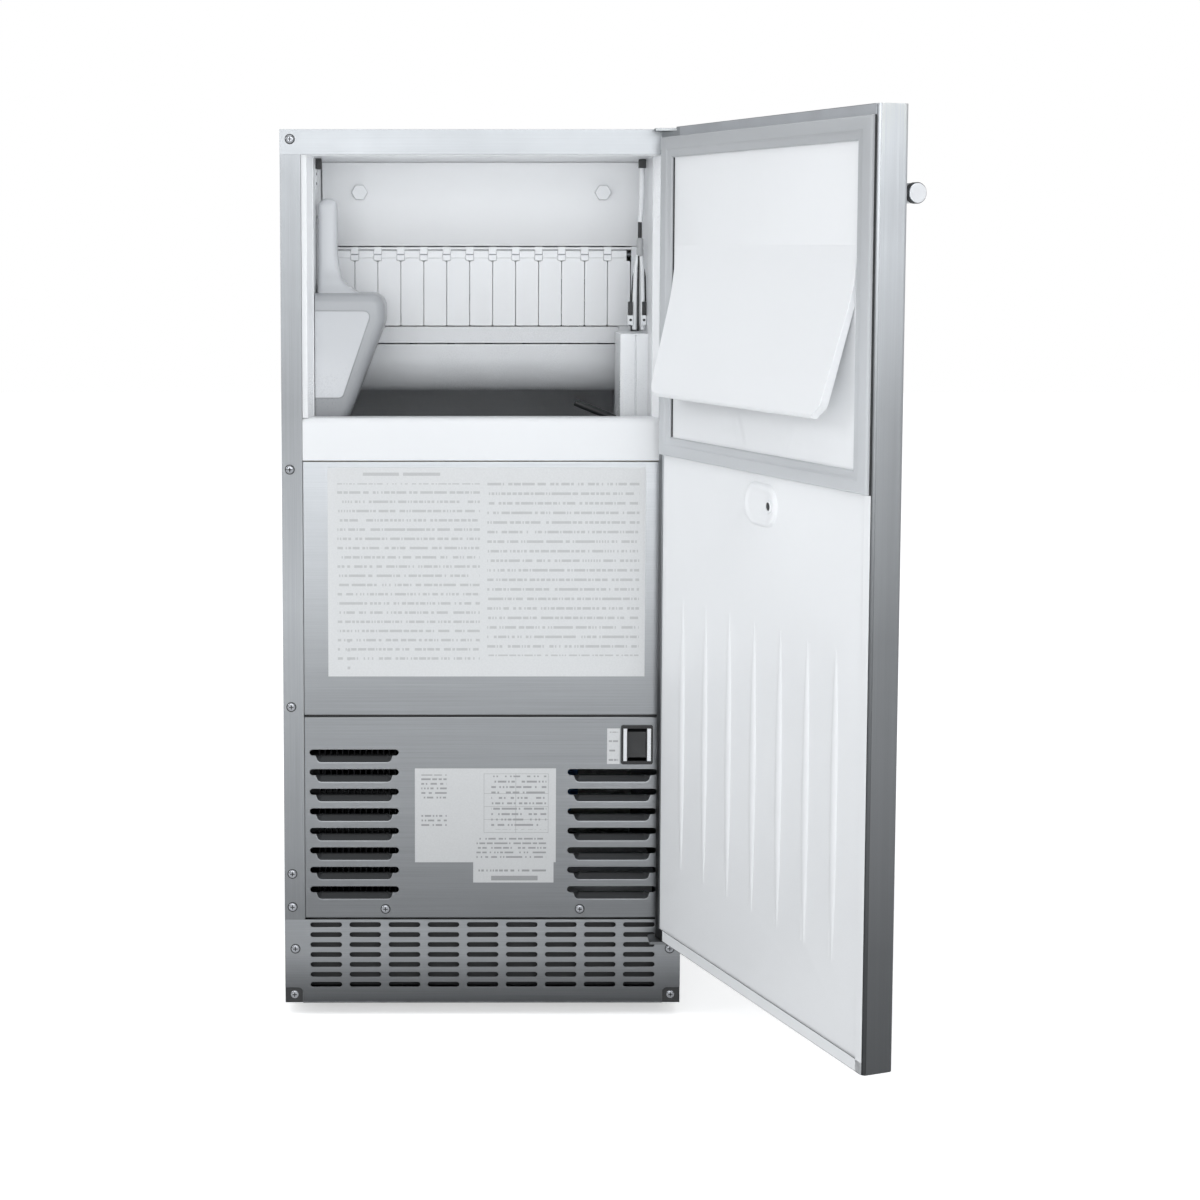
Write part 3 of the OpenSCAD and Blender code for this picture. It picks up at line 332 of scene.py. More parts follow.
M = {
    # painted light: the steels below take the lists of grey above, which change with height
    "steel": brushed("brushed_steel_front", "x", PANEL_GREY_AND_PAINTED_LIGHT),
    "steel_side": brushed("brushed_steel_side", "z", STILE_GREY_AND_PAINTED_LIGHT, rough=0.36),
    "steel_kick": brushed("brushed_steel_kick", "x", KICK_GREY_AND_PAINTED_LIGHT),
    "steel_flange": brushed("brushed_steel_flange", "x", [(0.0, 0.335), (1.0, 0.335)], rough=0.36),
    # painted shade: a near-black copy of the steel for the inside of the louver pockets
    "pocket": brushed("steel_pocket_painted_shade", "x", [(0.0, 0.035), (1.0, 0.06)], rough=0.45),
    "door_steel": brushed("brushed_steel_door", "z", DOOR_GREY_AND_PAINTED_LIGHT, rough=0.38, contrast=0.045),
    # painted shade: the door steel at half its grey, for the skin's rounded edge and folded rim
    "door_corner_shade": brushed("brushed_steel_door_corner_painted_shade", "z", [(p, v * 0.5) for p, v in DOOR_GREY_AND_PAINTED_LIGHT],
                           rough=0.42, contrast=0.045),
    "handle": brushed("satin_bar_steel", "x", [(0.0, 0.6), (1.0, 0.72)], rough=0.26, contrast=0.05),
    "white": plastic("white_plastic", (0.79, 0.805, 0.82)),
    "liner_white": plastic("bin_liner_plastic", (0.745, 0.758, 0.772), rough=0.3, spread=0.006),
    # painted light: a lighter copy of the liner's plastic for the forward-facing faces of its flared mouth
    "flare_painted_light": plastic("bin_mouth_plastic_painted_light", (0.95, 0.96, 0.975), rough=0.3, spread=0.004),
    # painted shade: the door liner's plastic is darker towards the bottom of the door
    "door_white": plastic("door_liner_plastic", (0.83, 0.842, 0.855), rough=0.34, spread=0.004,
                          painted_shade_by_height=(0.10, 0.84, 0.50, 1.0)),
    # painted shade: the scoop's plastic is greyer than the other white plastic, and its border darker still, more
    # so towards the bottom
    "scoop": plastic("scoop_plastic", (0.565, 0.58, 0.60), rough=0.3, spread=0.008),
    "scoop_edge_shade": plastic("scoop_border_painted_shade", (0.37, 0.383, 0.40), rough=0.3, spread=0.008,
                          painted_shade_by_height=(0.50, 0.55, 0.66, 1.0)),
    # painted shade: the evaporator cover's plastic darkens towards its bottom
    "white_satin": plastic("white_plastic_satin", (0.93, 0.942, 0.955), rough=0.42,
                           painted_shade_by_height=(0.72, 0.74, 0.797, 1.0)),
    "slat": plastic("slat_plastic", (0.87, 0.882, 0.895), rough=0.34),
    # painted shade: the gasket darkens towards the top of the door
    "gasket": plastic("grey_seal", (0.54, 0.557, 0.575), rough=0.55, grain=0.15, specular=0.35,
                      painted_shade_by_height=(0.60, 1.0, 0.79, 0.80)),
    "black": plastic("black_plastic", (0.018, 0.019, 0.020), rough=0.42, grain=0.18, spread=0.10),
    "black_gloss": plastic("black_gloss_plastic", (0.012, 0.012, 0.013), rough=0.16, spread=0.05),
    "blue": plastic("valve_plastic", (0.10, 0.25, 0.52), rough=0.4),
    "grey": plastic("grey_pipe_plastic", (0.42, 0.43, 0.44), rough=0.45),
    "box": plastic("grey_box_paint", (0.50, 0.52, 0.54), rough=0.5, grain=0.25, grain_scale=500.0),
    "zinc": metal("galvanised_sheet", (0.52, 0.54, 0.55), rough=0.42, flake=0.12),
    # painted shade: a darker copy of the galvanised sheet, for the base pan, the fan shroud and the lower hinge
    "shaded_zinc": metal("zinc_sheet_painted_shade", (0.16, 0.165, 0.17), rough=0.5, flake=0.12),
    "chrome": metal("bezel_metal", (0.66, 0.67, 0.69), rough=0.2, spread=0.03),
    "bar_end": metal("bar_end_steel", (0.86, 0.87, 0.89), rough=0.45, spread=0.04, metallic=0.35),
    "band": metal("door_top_steel", (0.62, 0.64, 0.67), rough=0.4, spread=0.06, metallic=0.8),
    "screw": metal("screw_steel", (0.36, 0.37, 0.39), rough=0.22, spread=0.12),
    "dark_steel": metal("dark_steel", (0.20, 0.21, 0.22), rough=0.4, spread=0.12),
    "copper": metal("copper_tube", (0.72, 0.40, 0.27), rough=0.32, spread=0.15),
    "tin": metal("tinned_copper", (0.66, 0.65, 0.64), rough=0.34, spread=0.08),
    # the condenser's fins are near black
    "dark_fins": metal("near_black_fins", (0.03, 0.031, 0.032), rough=0.45, spread=0.2),
    "paint": metal("black_gloss_paint", (0.025, 0.025, 0.026), rough=0.28, spread=0.2, metallic=0.0),
    "foam": foam("rigid_foam", (0.78, 0.68, 0.42)),
    "label": label("label_print"),
}


# ---------------- mesh helpers

def arc(cx, cy, r, a0, a1, n):
    """Points of an arc, with the angles in degrees."""
    return [(cx + r * math.cos(math.radians(a0 + (a1 - a0) * i / n)),
             cy + r * math.sin(math.radians(a0 + (a1 - a0) * i / n))) for i in range(n + 1)]


def rounded(points, radii, steps=6):
    """A polygon with its corners rounded to the given radii."""
    out = []
    count = len(points)
    for i, p in enumerate(points):
        p = Vector(p)
        r = radii[i] if hasattr(radii, "__len__") else radii
        a = Vector(points[i - 1]) - p
        b = Vector(points[(i + 1) % count]) - p
        if r <= 0:
            out.append(tuple(p))
            continue
        half = a.angle(b) / 2
        d = min(r / math.tan(half), a.length * 0.49, b.length * 0.49)
        a.normalize()
        b.normalize()
        start, end = p + a * d, p + b * d
        centre = p + (a + b).normalized() * (d / math.cos(half))
        r0 = (start - centre).length
        a0 = math.atan2(start.y - centre.y, start.x - centre.x)
        a1 = math.atan2(end.y - centre.y, end.x - centre.x)
        turn = (a1 - a0 + math.pi) % (2 * math.pi) - math.pi
        for k in range(steps + 1):
            t = a0 + turn * k / steps
            out.append((centre.x + r0 * math.cos(t), centre.y + r0 * math.sin(t)))
    return out


def rect(x0, y0, x1, y1, r=0.0, steps=6):
    return rounded([(x0, y0), (x1, y0), (x1, y1), (x0, y1)], r, steps) if r else \
        [(x0, y0), (x1, y0), (x1, y1), (x0, y1)]


def place(axis, u, v, w):
    """A point from its two outline coordinates and its height along the axis, in millimetres."""
    return Vector({"x": (w, u, v), "y": (u, w, v), "z": (u, v, w)}[axis]) * MM


def prism(bm, outline, axis, a, b):
    """A solid from an outline; the outline is in YZ, XZ or XY for the axes x, y and z."""
    low = [bm.verts.new(place(axis, u, v, a)) for u, v in outline]
    high = [bm.verts.new(place(axis, u, v, b)) for u, v in outline]
    bm.faces.new(low)
    bm.faces.new(high)
    for i in range(len(outline)):
        j = (i + 1) % len(outline)
        bm.faces.new((low[i], low[j], high[j], high[i]))


def box(bm, x, y, z):
    prism(bm, [(x[0], y[0]), (x[1], y[0]), (x[1], y[1]), (x[0], y[1])], "z", z[0], z[1])


def loft(bm, rings, closed=True, caps=True):
    """A skin through rings of points with the same count, in millimetres."""
    rows = [[bm.verts.new(Vector(p) * MM) for p in ring] for ring in rings]
    n = len(rows[0])
    for a, b in zip(rows, rows[1:]):
        for i in range(n if closed else n - 1):
            j = (i + 1) % n
            bm.faces.new((a[i], a[j], b[j], b[i]))
    if caps:
        bm.faces.new(rows[0])
        bm.faces.new(rows[-1])
    return rows


def revolve(bm, profile, centre, axis, steps=48, caps=True):
    """A turned shape: profile is (radius, height) pairs, its axis goes through centre."""
    rings = []
    for r, h in profile:
        ring = []
        for k in range(steps):
            t = 2 * math.pi * k / steps
            c, s = r * math.cos(t), r * math.sin(t)
            ring.append({"x": (centre[0] + h, centre[1] + c, centre[2] + s),
                         "y": (centre[0] + c, centre[1] + h, centre[2] + s),
                         "z": (centre[0] + c, centre[1] + s, centre[2] + h)}[axis])
        rings.append(ring)
    loft(bm, rings, caps=caps)


def tube(bm, path, radius, sides=12, caps=True):
    """A round bar along a path of points in millimetres."""
    pts = [Vector(p) for p in path]
    rings = []
    up = None
    for i, p in enumerate(pts):
        d = (pts[min(i + 1, len(pts) - 1)] - pts[max(i - 1, 0)]).normalized()
        if up is None:
            up = d.orthogonal().normalized()
        up = (up - d * up.dot(d)).normalized()
        side = d.cross(up)
        rings.append([p + (up * math.cos(2 * math.pi * k / sides)
                           + side * math.sin(2 * math.pi * k / sides)) * radius
                      for k in range(sides)])
    loft(bm, rings, caps=caps)


def new_object(name, bm):
    """An object in the scene made from a bmesh, which is freed."""
    mesh = bpy.data.meshes.new(name)
    bm.to_mesh(mesh)
    bm.free()
    obj = bpy.data.objects.new(name, mesh)
    bpy.context.scene.collection.objects.link(obj)
    return obj


def piece(name, bm, body, material, *nodes, slot=None, bevel=0.0, segments=3, angle=32,
          move=None, weld=True):
    """Turns a bmesh into a finished piece that rides on a body and stands for CAD nodes."""
    if weld:
        bmesh.ops.remove_doubles(bm, verts=bm.verts, dist=1e-6)
    bmesh.ops.recalc_face_normals(bm, faces=bm.faces)
    if move is not None:
        bmesh.ops.transform(bm, matrix=move, verts=bm.verts)
    return dress(new_object(name, bm), body, material, *nodes, slot=slot, bevel=bevel,
                 segments=segments, angle=angle)


def dress(obj, body, material, *nodes, slot=None, bevel=0.0, segments=3, angle=32, thick=0.0):
    """Materials, smooth shading, wall, rounded edges, body and nodes of an object; slot is not used."""
    mesh = obj.data
    for m in (material if isinstance(material, (list, tuple)) else [material]):
        mesh.materials.append(m)
    mesh.polygons.foreach_set("use_smooth", [True] * len(mesh.polygons))
    mesh.set_sharp_from_angle(angle=math.radians(angle))
    if thick:
        mod = obj.modifiers.new("wall", "SOLIDIFY")
        mod.thickness = thick * MM
        mod.offset = -1
        mod.use_even_offset = True
    if bevel:
        mod = obj.modifiers.new("edges", "BEVEL")
        mod.width = bevel * MM
        mod.segments = segments
        mod.limit_method = "ANGLE"
        mod.angle_limit = math.radians(angle)
        mod.harden_normals = True
        mod.use_clamp_overlap = True
    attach(obj, body)
    if nodes:
        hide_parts(*nodes)
    return obj


def shape(bm, bevel=0.0, segments=3, angle=32):
    """A loose solid that cuts or is cut, with its edges already rounded."""
    bmesh.ops.remove_doubles(bm, verts=bm.verts, dist=1e-6)
    bmesh.ops.recalc_face_normals(bm, faces=bm.faces)
    obj = new_object("shape", bm)
    if bevel:
        mod = obj.modifiers.new("edges", "BEVEL")
        mod.width = bevel * MM
        mod.segments = segments
        mod.limit_method = "ANGLE"
        mod.angle_limit = math.radians(angle)
    return obj


def carved(obj, *cutters):
    """The bmesh of a shape after its cutters are taken out; the loose solids are removed."""
    for cutter in cutters:
        mod = obj.modifiers.new("cut", "BOOLEAN")
        mod.operation = "DIFFERENCE"
        mod.solver = "EXACT"
        mod.object = cutter
    bpy.context.view_layer.update()
    graph = bpy.context.evaluated_depsgraph_get()
    bm = bmesh.new()
    bm.from_mesh(bpy.data.meshes.new_from_object(obj.evaluated_get(graph)))
    for used in (obj, *cutters):
        bpy.data.objects.remove(used)
    return bm


def second_material(obj, chosen):
    """Gives the second material of a piece to the faces that pass a test."""
    for face in obj.data.polygons:
        if chosen(face):
            face.material_index = 1


def flat_front(obj):
    """Keeps the large front faces of a sheet flat, so no shading runs into them from its folds."""
    for face in obj.data.polygons:
        if abs(face.normal.y) > 0.99999:
            face.use_smooth = False


RECORD_SLOT = {s["node"]: s["material_slot"] for s in frame["record"]["subparts"]}
BODY_OF = {n: b for b, ns in frame["record"]["behaviour"]["bodies"].items() for n in ns}


def clean_copy(node, material, bevel=0.4, segments=2, angle=30):
    """The CAD shape of a node with clean faces and rounded edges."""
    bm = bmesh.new()
    bm.from_mesh(NODES[node].data)
    bmesh.ops.remove_doubles(bm, verts=bm.verts, dist=1e-6)
    bmesh.ops.dissolve_limit(bm, angle_limit=math.radians(0.5), verts=bm.verts, edges=bm.edges,
                             delimit={"NORMAL"})
    return piece(node + "_v", bm, BODY_OF[node], material, node, slot=RECORD_SLOT[node],
                 bevel=bevel, segments=segments, angle=angle)


def paint(node, material):
    """A CAD node whose shape is right gets its material only."""
    data = NODES[node].data
    data.materials.clear()
    data.materials.append(material)


def box_mm(node):
    lo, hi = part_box(node)
    return lo / MM, hi / MM


# The open door: everything on it is described closed and swung about its hinge
hinge = next(j for j in frame["joints"] if j["name"] == "door_hinge")
pivot = Vector(hinge["pos_m"])
OPEN = (Matrix.Translation((pivot.x, pivot.y, 0))
        @ Matrix.Rotation(math.radians(-hinge["range_deg"][0]), 4, "Z")
        @ Matrix.Translation((-pivot.x, -pivot.y, 0)))

# ---------------- floor and light

LIGHT = (0.98, 0.995, 1.012)
FLOOR_HALF, FLOOR_Z = 9000, (-20, -12.05)

bm = bmesh.new()
box(bm, (-FLOOR_HALF, FLOOR_HALF), (-FLOOR_HALF, FLOOR_HALF), FLOOR_Z)
floor = new_object("floor", bm)
g = Graph("floor_pale")
grain = g.noise(g.stretch((1, 1, 1)), 3.0, 3.0, 0.5)
g.set(Base_Color=g.mix(g.remap(grain, 0.3, 0.7, 0.0, 1.0), (0.93, 0.93, 0.93), (0.95, 0.95, 0.95)),
      Roughness=0.7)
glow = g.tree.nodes.new("ShaderNodeLightPath")
g.shader.inputs["Emission Color"].default_value = (1, 1, 1, 1)
g.put(g.shader.inputs["Emission Strength"],
      g.math("MULTIPLY", glow.outputs["Is Camera Ray"], 0.5))
floor.data.materials.append(g.mat)

# The world is white for the camera, and a soft dimmer light for everything else
world = bpy.data.worlds.new("studio")
bpy.context.scene.world = world
world.use_nodes = True
tree = world.node_tree
back = tree.nodes["Background"]
back.inputs[0].default_value = (*LIGHT, 1)
back.inputs[1].default_value = 0.30
seen = tree.nodes.new("ShaderNodeBackground")
seen.inputs[0].default_value = (1, 1, 1, 1)
seen.inputs[1].default_value = 1.0
paths = tree.nodes.new("ShaderNodeLightPath")
blend = tree.nodes.new("ShaderNodeMixShader")
tree.links.new(paths.outputs["Is Camera Ray"], blend.inputs[0])
tree.links.new(back.outputs[0], blend.inputs[1])
tree.links.new(seen.outputs[0], blend.inputs[2])
tree.links.new(blend.outputs[0], tree.nodes["World Output"].inputs["Surface"])


def softbox(name, where, at, size, watts):
    """A rectangular area light at a place, turned to another."""
    data = bpy.data.lights.new(name, "AREA")
    data.shape = "RECTANGLE"
    data.size, data.size_y = size
    data.energy = watts
    data.color = LIGHT
    obj = bpy.data.objects.new(name, data)
    obj.location = where
    obj.rotation_euler = (Vector(at) - Vector(where)).to_track_quat("-Z", "Y").to_euler()
    bpy.context.scene.collection.objects.link(obj)


softbox("front_light", (0.1, -3.4, 1.15), (0, 0, 0.7), (3.0, 1.5), 47)
softbox("side_light", (-2.6, -0.6, 1.5), (0.1, 0.1, 0.5), (1.4, 1.6), 21)
softbox("edge_light", (2.6, -1.6, 2.0), (0.35, -0.3, 0.75), (1.2, 1.0), 13)
softbox("mouth_light", (0, 0.02, 0.79), (0, 0.15, 0.755), (0.28, 0.02), 0.02)
sky = bpy.data.lights.new("overhead_light", "SUN")
sky.energy = 1.25
sky.color = LIGHT
sky.angle = math.radians(70)
sun = bpy.data.objects.new("overhead_light", sky)
sun.rotation_euler = (math.radians(14), math.radians(-8), 0)
bpy.context.scene.collection.objects.link(sun)

# ---------------- cabinet sheet parts

SHEET, FOLD_R = 1.2, 0.7
POCKET_DEPTH, POCKET_R = 4.1, 1.6


def front_loop(bm, path):
    """A closed loop of edges in the front plane, from X and Z in millimetres."""
    vs = [bm.verts.new(Vector((x, 0, z)) * MM) for x, z in path]
    return [bm.edges.new((vs[i - 1], vs[i])) for i in range(len(vs))]


def fill_front(bm, edges):
    bmesh.ops.triangle_fill(bm, use_beauty=True, use_dissolve=False, edges=edges,
                            normal=(0, -1, 0))


def sheet_panel(node, outline, holes, pockets=()):
    """A front panel of bent sheet: a rounded rim, holes, and pockets pressed inwards."""
    bm = bmesh.new()
    cx = sum(p[0] for p in outline) / len(outline)
    cz = sum(p[1] for p in outline) / len(outline)
    rings = []
    for k in range(5):
        t = math.radians(90 * k / 4)
        inset, y = FOLD_R * (1 - math.sin(t)), FOLD_R * (1 - math.cos(t))
        rings.append([(x - inset * (1 if x > cx else -1), y, z - inset * (1 if z > cz else -1))
                      for x, z in outline])
    rings.append([(x, SHEET, z) for x, z in outline])
    rows = loft(bm, rings, caps=False)
    edges = [e for e in bm.edges if e.verts[0] in rows[0] and e.verts[1] in rows[0]]
    for hole in holes:
        edges += front_loop(bm, hole)
    fill_front(bm, edges)
    for path, top_z, left, right in pockets:
        grid = []
        for t in (0.0, 0.03, 0.07, 0.12, 0.18, 0.26, 0.4, 0.6, 0.8, 1.0):
            ring = []
            for x, z in path:
                qx, qz = min(max(x, left), right), top_z
                s = t * math.hypot(qx - x, qz - z)
                curve = s * s / (2 * POCKET_R) if s < POCKET_R else s - POCKET_R / 2
                depth = min(0.62 * curve, POCKET_DEPTH)
                ring.append((x + (qx - x) * t, depth, z + (qz - z) * t))
            grid.append(ring)
        lip = 3 * (len(path) - 1)
        first = len(bm.faces) + lip
        loft(bm, grid, closed=False, caps=False)
        bm.faces.ensure_lookup_table()
        # the pocket faces take the second material, painted shade
        for face in bm.faces[first:]:
            face.material_index = 1
    bmesh.ops.remove_doubles(bm, verts=bm.verts, dist=2e-6)
    bmesh.ops.recalc_face_normals(bm, faces=bm.faces)
    front = max(bm.faces, key=lambda f: f.calc_area())
    if front.normal.y > 0:
        bmesh.ops.reverse_faces(bm, faces=bm.faces)
    flat_front(dress(new_object(node + "_v", bm), "cabinet", [M["steel"], M["pocket"]], node,
                     slot=RECORD_SLOT[node], angle=28, thick=SHEET))


def capsule(cx, cz, w, h, n=8):
    """The outline of a slot with round ends."""
    r, half = h / 2, w / 2 - h / 2
    return arc(cx + half, cz, r, -90, 90, n) + arc(cx - half, cz, r, 90, 270, n)


def screw_hole(x, z):
    return arc(x, z, 2.1, 0, 360, 16)[:-1]


# Service panel: louvers in two columns, the hole of the switch and those of the screws
lo, hi = box_mm("service_panel")
LOUVER_TOP, LOUVER_PITCH, LOUVERS = 242.0, 18.8, 8
LEFT_X, RIGHT_X = -121.2, 122.0
SLOT_W, SLOT_H = 84.1, 6.0
POCKET_H, POCKET_TOP, POCKET_LOW, POCKET_FLAT, POCKET_CORNER = 7.2, 37, 34.6, 30, 5
SWITCH_X, SWITCH_Z = 145.0, 249.75
holes, pockets = [], []
louvers = [(LEFT_X, LOUVER_TOP - i * LOUVER_PITCH) for i in range(LOUVERS)]
louvers += [(RIGHT_X, LOUVER_TOP - i * LOUVER_PITCH) for i in range(1, LOUVERS)]
for cx, cz in louvers:
    z1 = cz - SLOT_H / 2
    z0 = z1 - POCKET_H
    path = rounded([(cx - POCKET_TOP, z1), (cx - POCKET_LOW, z0), (cx + POCKET_LOW, z0),
                    (cx + POCKET_TOP, z1)], [0, POCKET_CORNER, POCKET_CORNER, 0], 8)
    holes.append(path + capsule(cx, cz, SLOT_W, SLOT_H, 10))
    pockets.append((path, z1, cx - POCKET_FLAT, cx + POCKET_FLAT))
holes.append(rect(SWITCH_X - 12, SWITCH_Z - 17, SWITCH_X + 12, SWITCH_Z + 17, 1.5))
holes += [screw_hole(x, 91.4) for x in (-92, 92)]
sheet_panel("service_panel", rect(lo.x, lo.z, hi.x, hi.z), holes, pockets)

# Middle panel, whose lower edge is folded back
lo, hi = box_mm("mid_front_panel")
sheet_panel("mid_front_panel", rect(lo.x, lo.z, hi.x, hi.z), [])

# Kick plate: rows of slots, screw holes and the cut-outs at its lower corners
KICK_COLUMNS, KICK_ROWS, KICK_PITCH_X, KICK_PITCH_Z, KICK_FIRST_Z = 9, 7, 37.1, 9.67, 18
KICK_SLOT_W, KICK_SLOT_H, CUT_W, CUT_TOP, CUT_R = 29.9, 4.6, 17, 15.0, 5
lo, hi = box_mm("kick_plate")
cut_x = hi.x - CUT_W
outline = rounded([(-cut_x, lo.z), (cut_x, lo.z), (cut_x, CUT_TOP), (hi.x, CUT_TOP), (hi.x, hi.z),
                   (lo.x, hi.z), (lo.x, CUT_TOP), (-cut_x, CUT_TOP)],
                  [0, 0, CUT_R, 0, 0, 0, 0, CUT_R], 6)
bm = bmesh.new()
edges = front_loop(bm, outline)
for column in range(KICK_COLUMNS):
    for row in range(KICK_ROWS):
        edges += front_loop(bm, capsule((column - KICK_COLUMNS // 2) * KICK_PITCH_X,
                                        KICK_FIRST_Z + row * KICK_PITCH_Z, KICK_SLOT_W, KICK_SLOT_H))
for x in (-177.6, 177.6):
    edges += front_loop(bm, screw_hole(x, 52.8))
fill_front(bm, edges)
if sum(f.normal.y for f in bm.faces) > 0:
    bmesh.ops.reverse_faces(bm, faces=bm.faces)
dress(new_object("kick_plate_v", bm), "cabinet", M["steel_kick"], "kick_plate", slot="stainless",
      thick=SHEET, bevel=0.3, segments=2, angle=40)

for node in ("side_panel_left", "side_panel_right"):
    clean_copy(node, M["steel_side"], bevel=0.35)

# Black sheets that stand in for shade: a strip behind the seam of the two panels, a sheet behind the kick slots,
# and pads behind the cut-outs at the lower corners
SHADE_BACKING_HALF = 166
bm = bmesh.new()
box(bm, (-SHADE_BACKING_HALF, SHADE_BACKING_HALF), (2.4, 4.0), (272.5, 281.5))
box(bm, (-SHADE_BACKING_HALF, SHADE_BACKING_HALF), (14, 15.5), (13, 80))
for x0, x1 in ((-187.2, -171), (171, 187.2)):
    box(bm, (x0, x1), (0.95, 1.18), (0.3, 14.7))
piece("painted_shade_backing", bm, "cabinet", M["black"], slot="black_plastic", weld=False)

# Parts that keep their CAD shape
clean_copy("top_panel", M["steel_flange"], bevel=0.5)
for node in ("rear_panel", "divider_shelf"):
    clean_copy(node, M["zinc"], bevel=0.25)
# the base pan and the fan shroud take the zinc's darker copy, painted shade
for node in ("base_pan", "fan_shroud"):
    clean_copy(node, M["shaded_zinc"], bevel=0.25)
# the lower hinge takes the zinc's darker copy, painted shade, and the upper hinge the plain zinc
second_material(clean_copy("door_hinges", [M["shaded_zinc"], M["zinc"]], bevel=0.25),
                lambda face: face.center.z > CABINET_H / 2)
for node in ("insulation_foam", "door_foam"):
    paint(node, M["foam"])

# Bin liner: its mouth flares out at the sides, and the flares' forward-facing faces take a lighter copy of its
# plastic, painted light
LINER_X = 158
second_material(clean_copy("bin_liner", [M["liner_white"], M["flare_painted_light"]], bevel=3.0, segments=4),
                lambda face: (face.normal.y < -0.2 and abs(face.normal.x) > 0.2
                              and abs(face.center.x) > 0.15))
clean_copy("evaporator_cover", M["white_satin"], bevel=1.2, segments=3)
clean_copy("cover_knobs", M["white"], bevel=0.8, segments=3)
clean_copy("ice_chute", M["white"], bevel=0.8)

# Water tray: a trough with a large radius at its front
TRAY_WALL, FRONT_R, BACK_R = 2.5, 40, 14
lo, hi = box_mm("sump_tray")
bm = bmesh.new()
prism(bm, rounded([(lo.y, hi.z + 20), (lo.y, lo.z), (hi.y, lo.z), (hi.y, hi.z + 20)],
                  [0, FRONT_R, BACK_R, 0], 12), "x", lo.x, hi.x)
trough = shape(bm, bevel=4.0, segments=4)
bm = bmesh.new()
prism(bm, rounded([(lo.y + TRAY_WALL, hi.z + 40), (lo.y + TRAY_WALL, lo.z + TRAY_WALL),
                   (hi.y - TRAY_WALL, lo.z + TRAY_WALL), (hi.y - TRAY_WALL, hi.z + 40)],
                  [0, FRONT_R - TRAY_WALL, BACK_R - TRAY_WALL, 0], 12), "x",
      lo.x + TRAY_WALL, hi.x - TRAY_WALL)
water_space = shape(bm, bevel=2.0, segments=3)
bm = bmesh.new()
box(bm, (lo.x - 20, hi.x + 20), (lo.y - 20, hi.y + 20), (hi.z, hi.z + 80))
piece("sump_tray_v", carved(trough, water_space, shape(bm)), "cabinet", M["white"], "sump_tray",
      slot="white_plastic", angle=30)
clean_copy("curtain_brackets", M["white"], bevel=0.5)

# Guard at the right wall, with a groove down its front
bm = bmesh.new()
bm.from_mesh(NODES["probe_guard"].data)
guard = shape(bm)
lo, hi = box_mm("probe_guard")
bm = bmesh.new()
box(bm, (145.7, 147.1), (lo.y - 2, lo.y + 1.2), (lo.z + 10, hi.z - 1.5))
piece("probe_guard_v", carved(guard, shape(bm)), "cabinet", M["white"], "probe_guard",
      slot="white_plastic", bevel=1.6, segments=4)
clean_copy("spray_manifold", M["grey"], bevel=0.4)

# Curtain: each slat is a plate with notched upper corners and an eye that is flat in front
ROD_Y, ROD_Z, ROD_R = 152.0, 709.0, 2.0
SLATS, SLAT_PITCH = 13, 22.8
SLAT_BOTTOM, SLAT_TOP, SLAT_T = 638.5, 703.0, 2.0
EYE_HALF, EYE_R, EYE_HOLE_R, EYE_FRONT = 7.4, 4.45, 2.1, 148.9
for k in range(1, SLATS + 1):
    node = f"slat_{k:02d}"
    lo, hi = box_mm(node)
    mid = (lo.x + hi.x) / 2
    bm = bmesh.new()
    left, right = lo.x - 0.25, hi.x + 0.25
    eye_0, eye_1 = mid - EYE_HALF, mid + EYE_HALF
    plate = rounded([(left, SLAT_BOTTOM), (right, SLAT_BOTTOM), (right, SLAT_TOP - 0.6),
                     (eye_1, SLAT_TOP - 0.2), (eye_1, ROD_Z - 1), (eye_0, ROD_Z - 1),
                     (eye_0, SLAT_TOP - 0.2), (left, SLAT_TOP - 0.6)],
                    [1.2, 1.2, 1.4, 0.8, 0, 0, 0.8, 1.4], 4)
    prism(bm, plate, "y", ROD_Y - SLAT_T, ROD_Y)
    eye = [(max(y, EYE_FRONT), z) for y, z in arc(ROD_Y, ROD_Z, EYE_R, -60, 240, 22)]
    eye += arc(ROD_Y, ROD_Z, EYE_HOLE_R, 240, -60, 22)
    prism(bm, eye, "x", eye_0, eye_1)
    piece(node + "_v", bm, node, M["slat"], node, slot="white_plastic", bevel=0.35, segments=2,
          weld=False)

# Rod with dark boxes between the eyes, painted as the shadow in the gaps, and the white saddles that keep the
# slats apart under a strip
GAP_SHADOW_HALF, SADDLE_HALF, SADDLE_TOP = 3.6, 3.85, 716.8
between = [(k - SLATS / 2) * SLAT_PITCH for k in range(1, SLATS)]
lo, hi = box_mm("curtain_rod")
bm = bmesh.new()
tube(bm, [(x, ROD_Y, ROD_Z) for x in (lo.x, -50, 50, hi.x)], ROD_R, 20)
# painted shadow: thin dark boxes in the gaps between the slats' eyes
for x in between:
    box(bm, (x - GAP_SHADOW_HALF, x + GAP_SHADOW_HALF), (EYE_FRONT - 0.08, EYE_FRONT + 0.1),
        (ROD_Z - 0.6, ROD_Z + 0.6))
piece("curtain_rod_v", bm, "cabinet", M["dark_steel"], "curtain_rod", slot="screw_steel",
      weld=False)
bm = bmesh.new()
for x in between:
    box(bm, (x - SADDLE_HALF, x + SADDLE_HALF), (EYE_FRONT, ROD_Y + 5.5),
        (SLAT_TOP - 0.05, SADDLE_TOP))
box(bm, (lo.x + 0.5, hi.x - 0.5), (149.2, 156.5), (713.9, 716.4))
piece("curtain_saddles", bm, "cabinet", M["slat"], slot="white_plastic", bevel=0.5, weld=False)

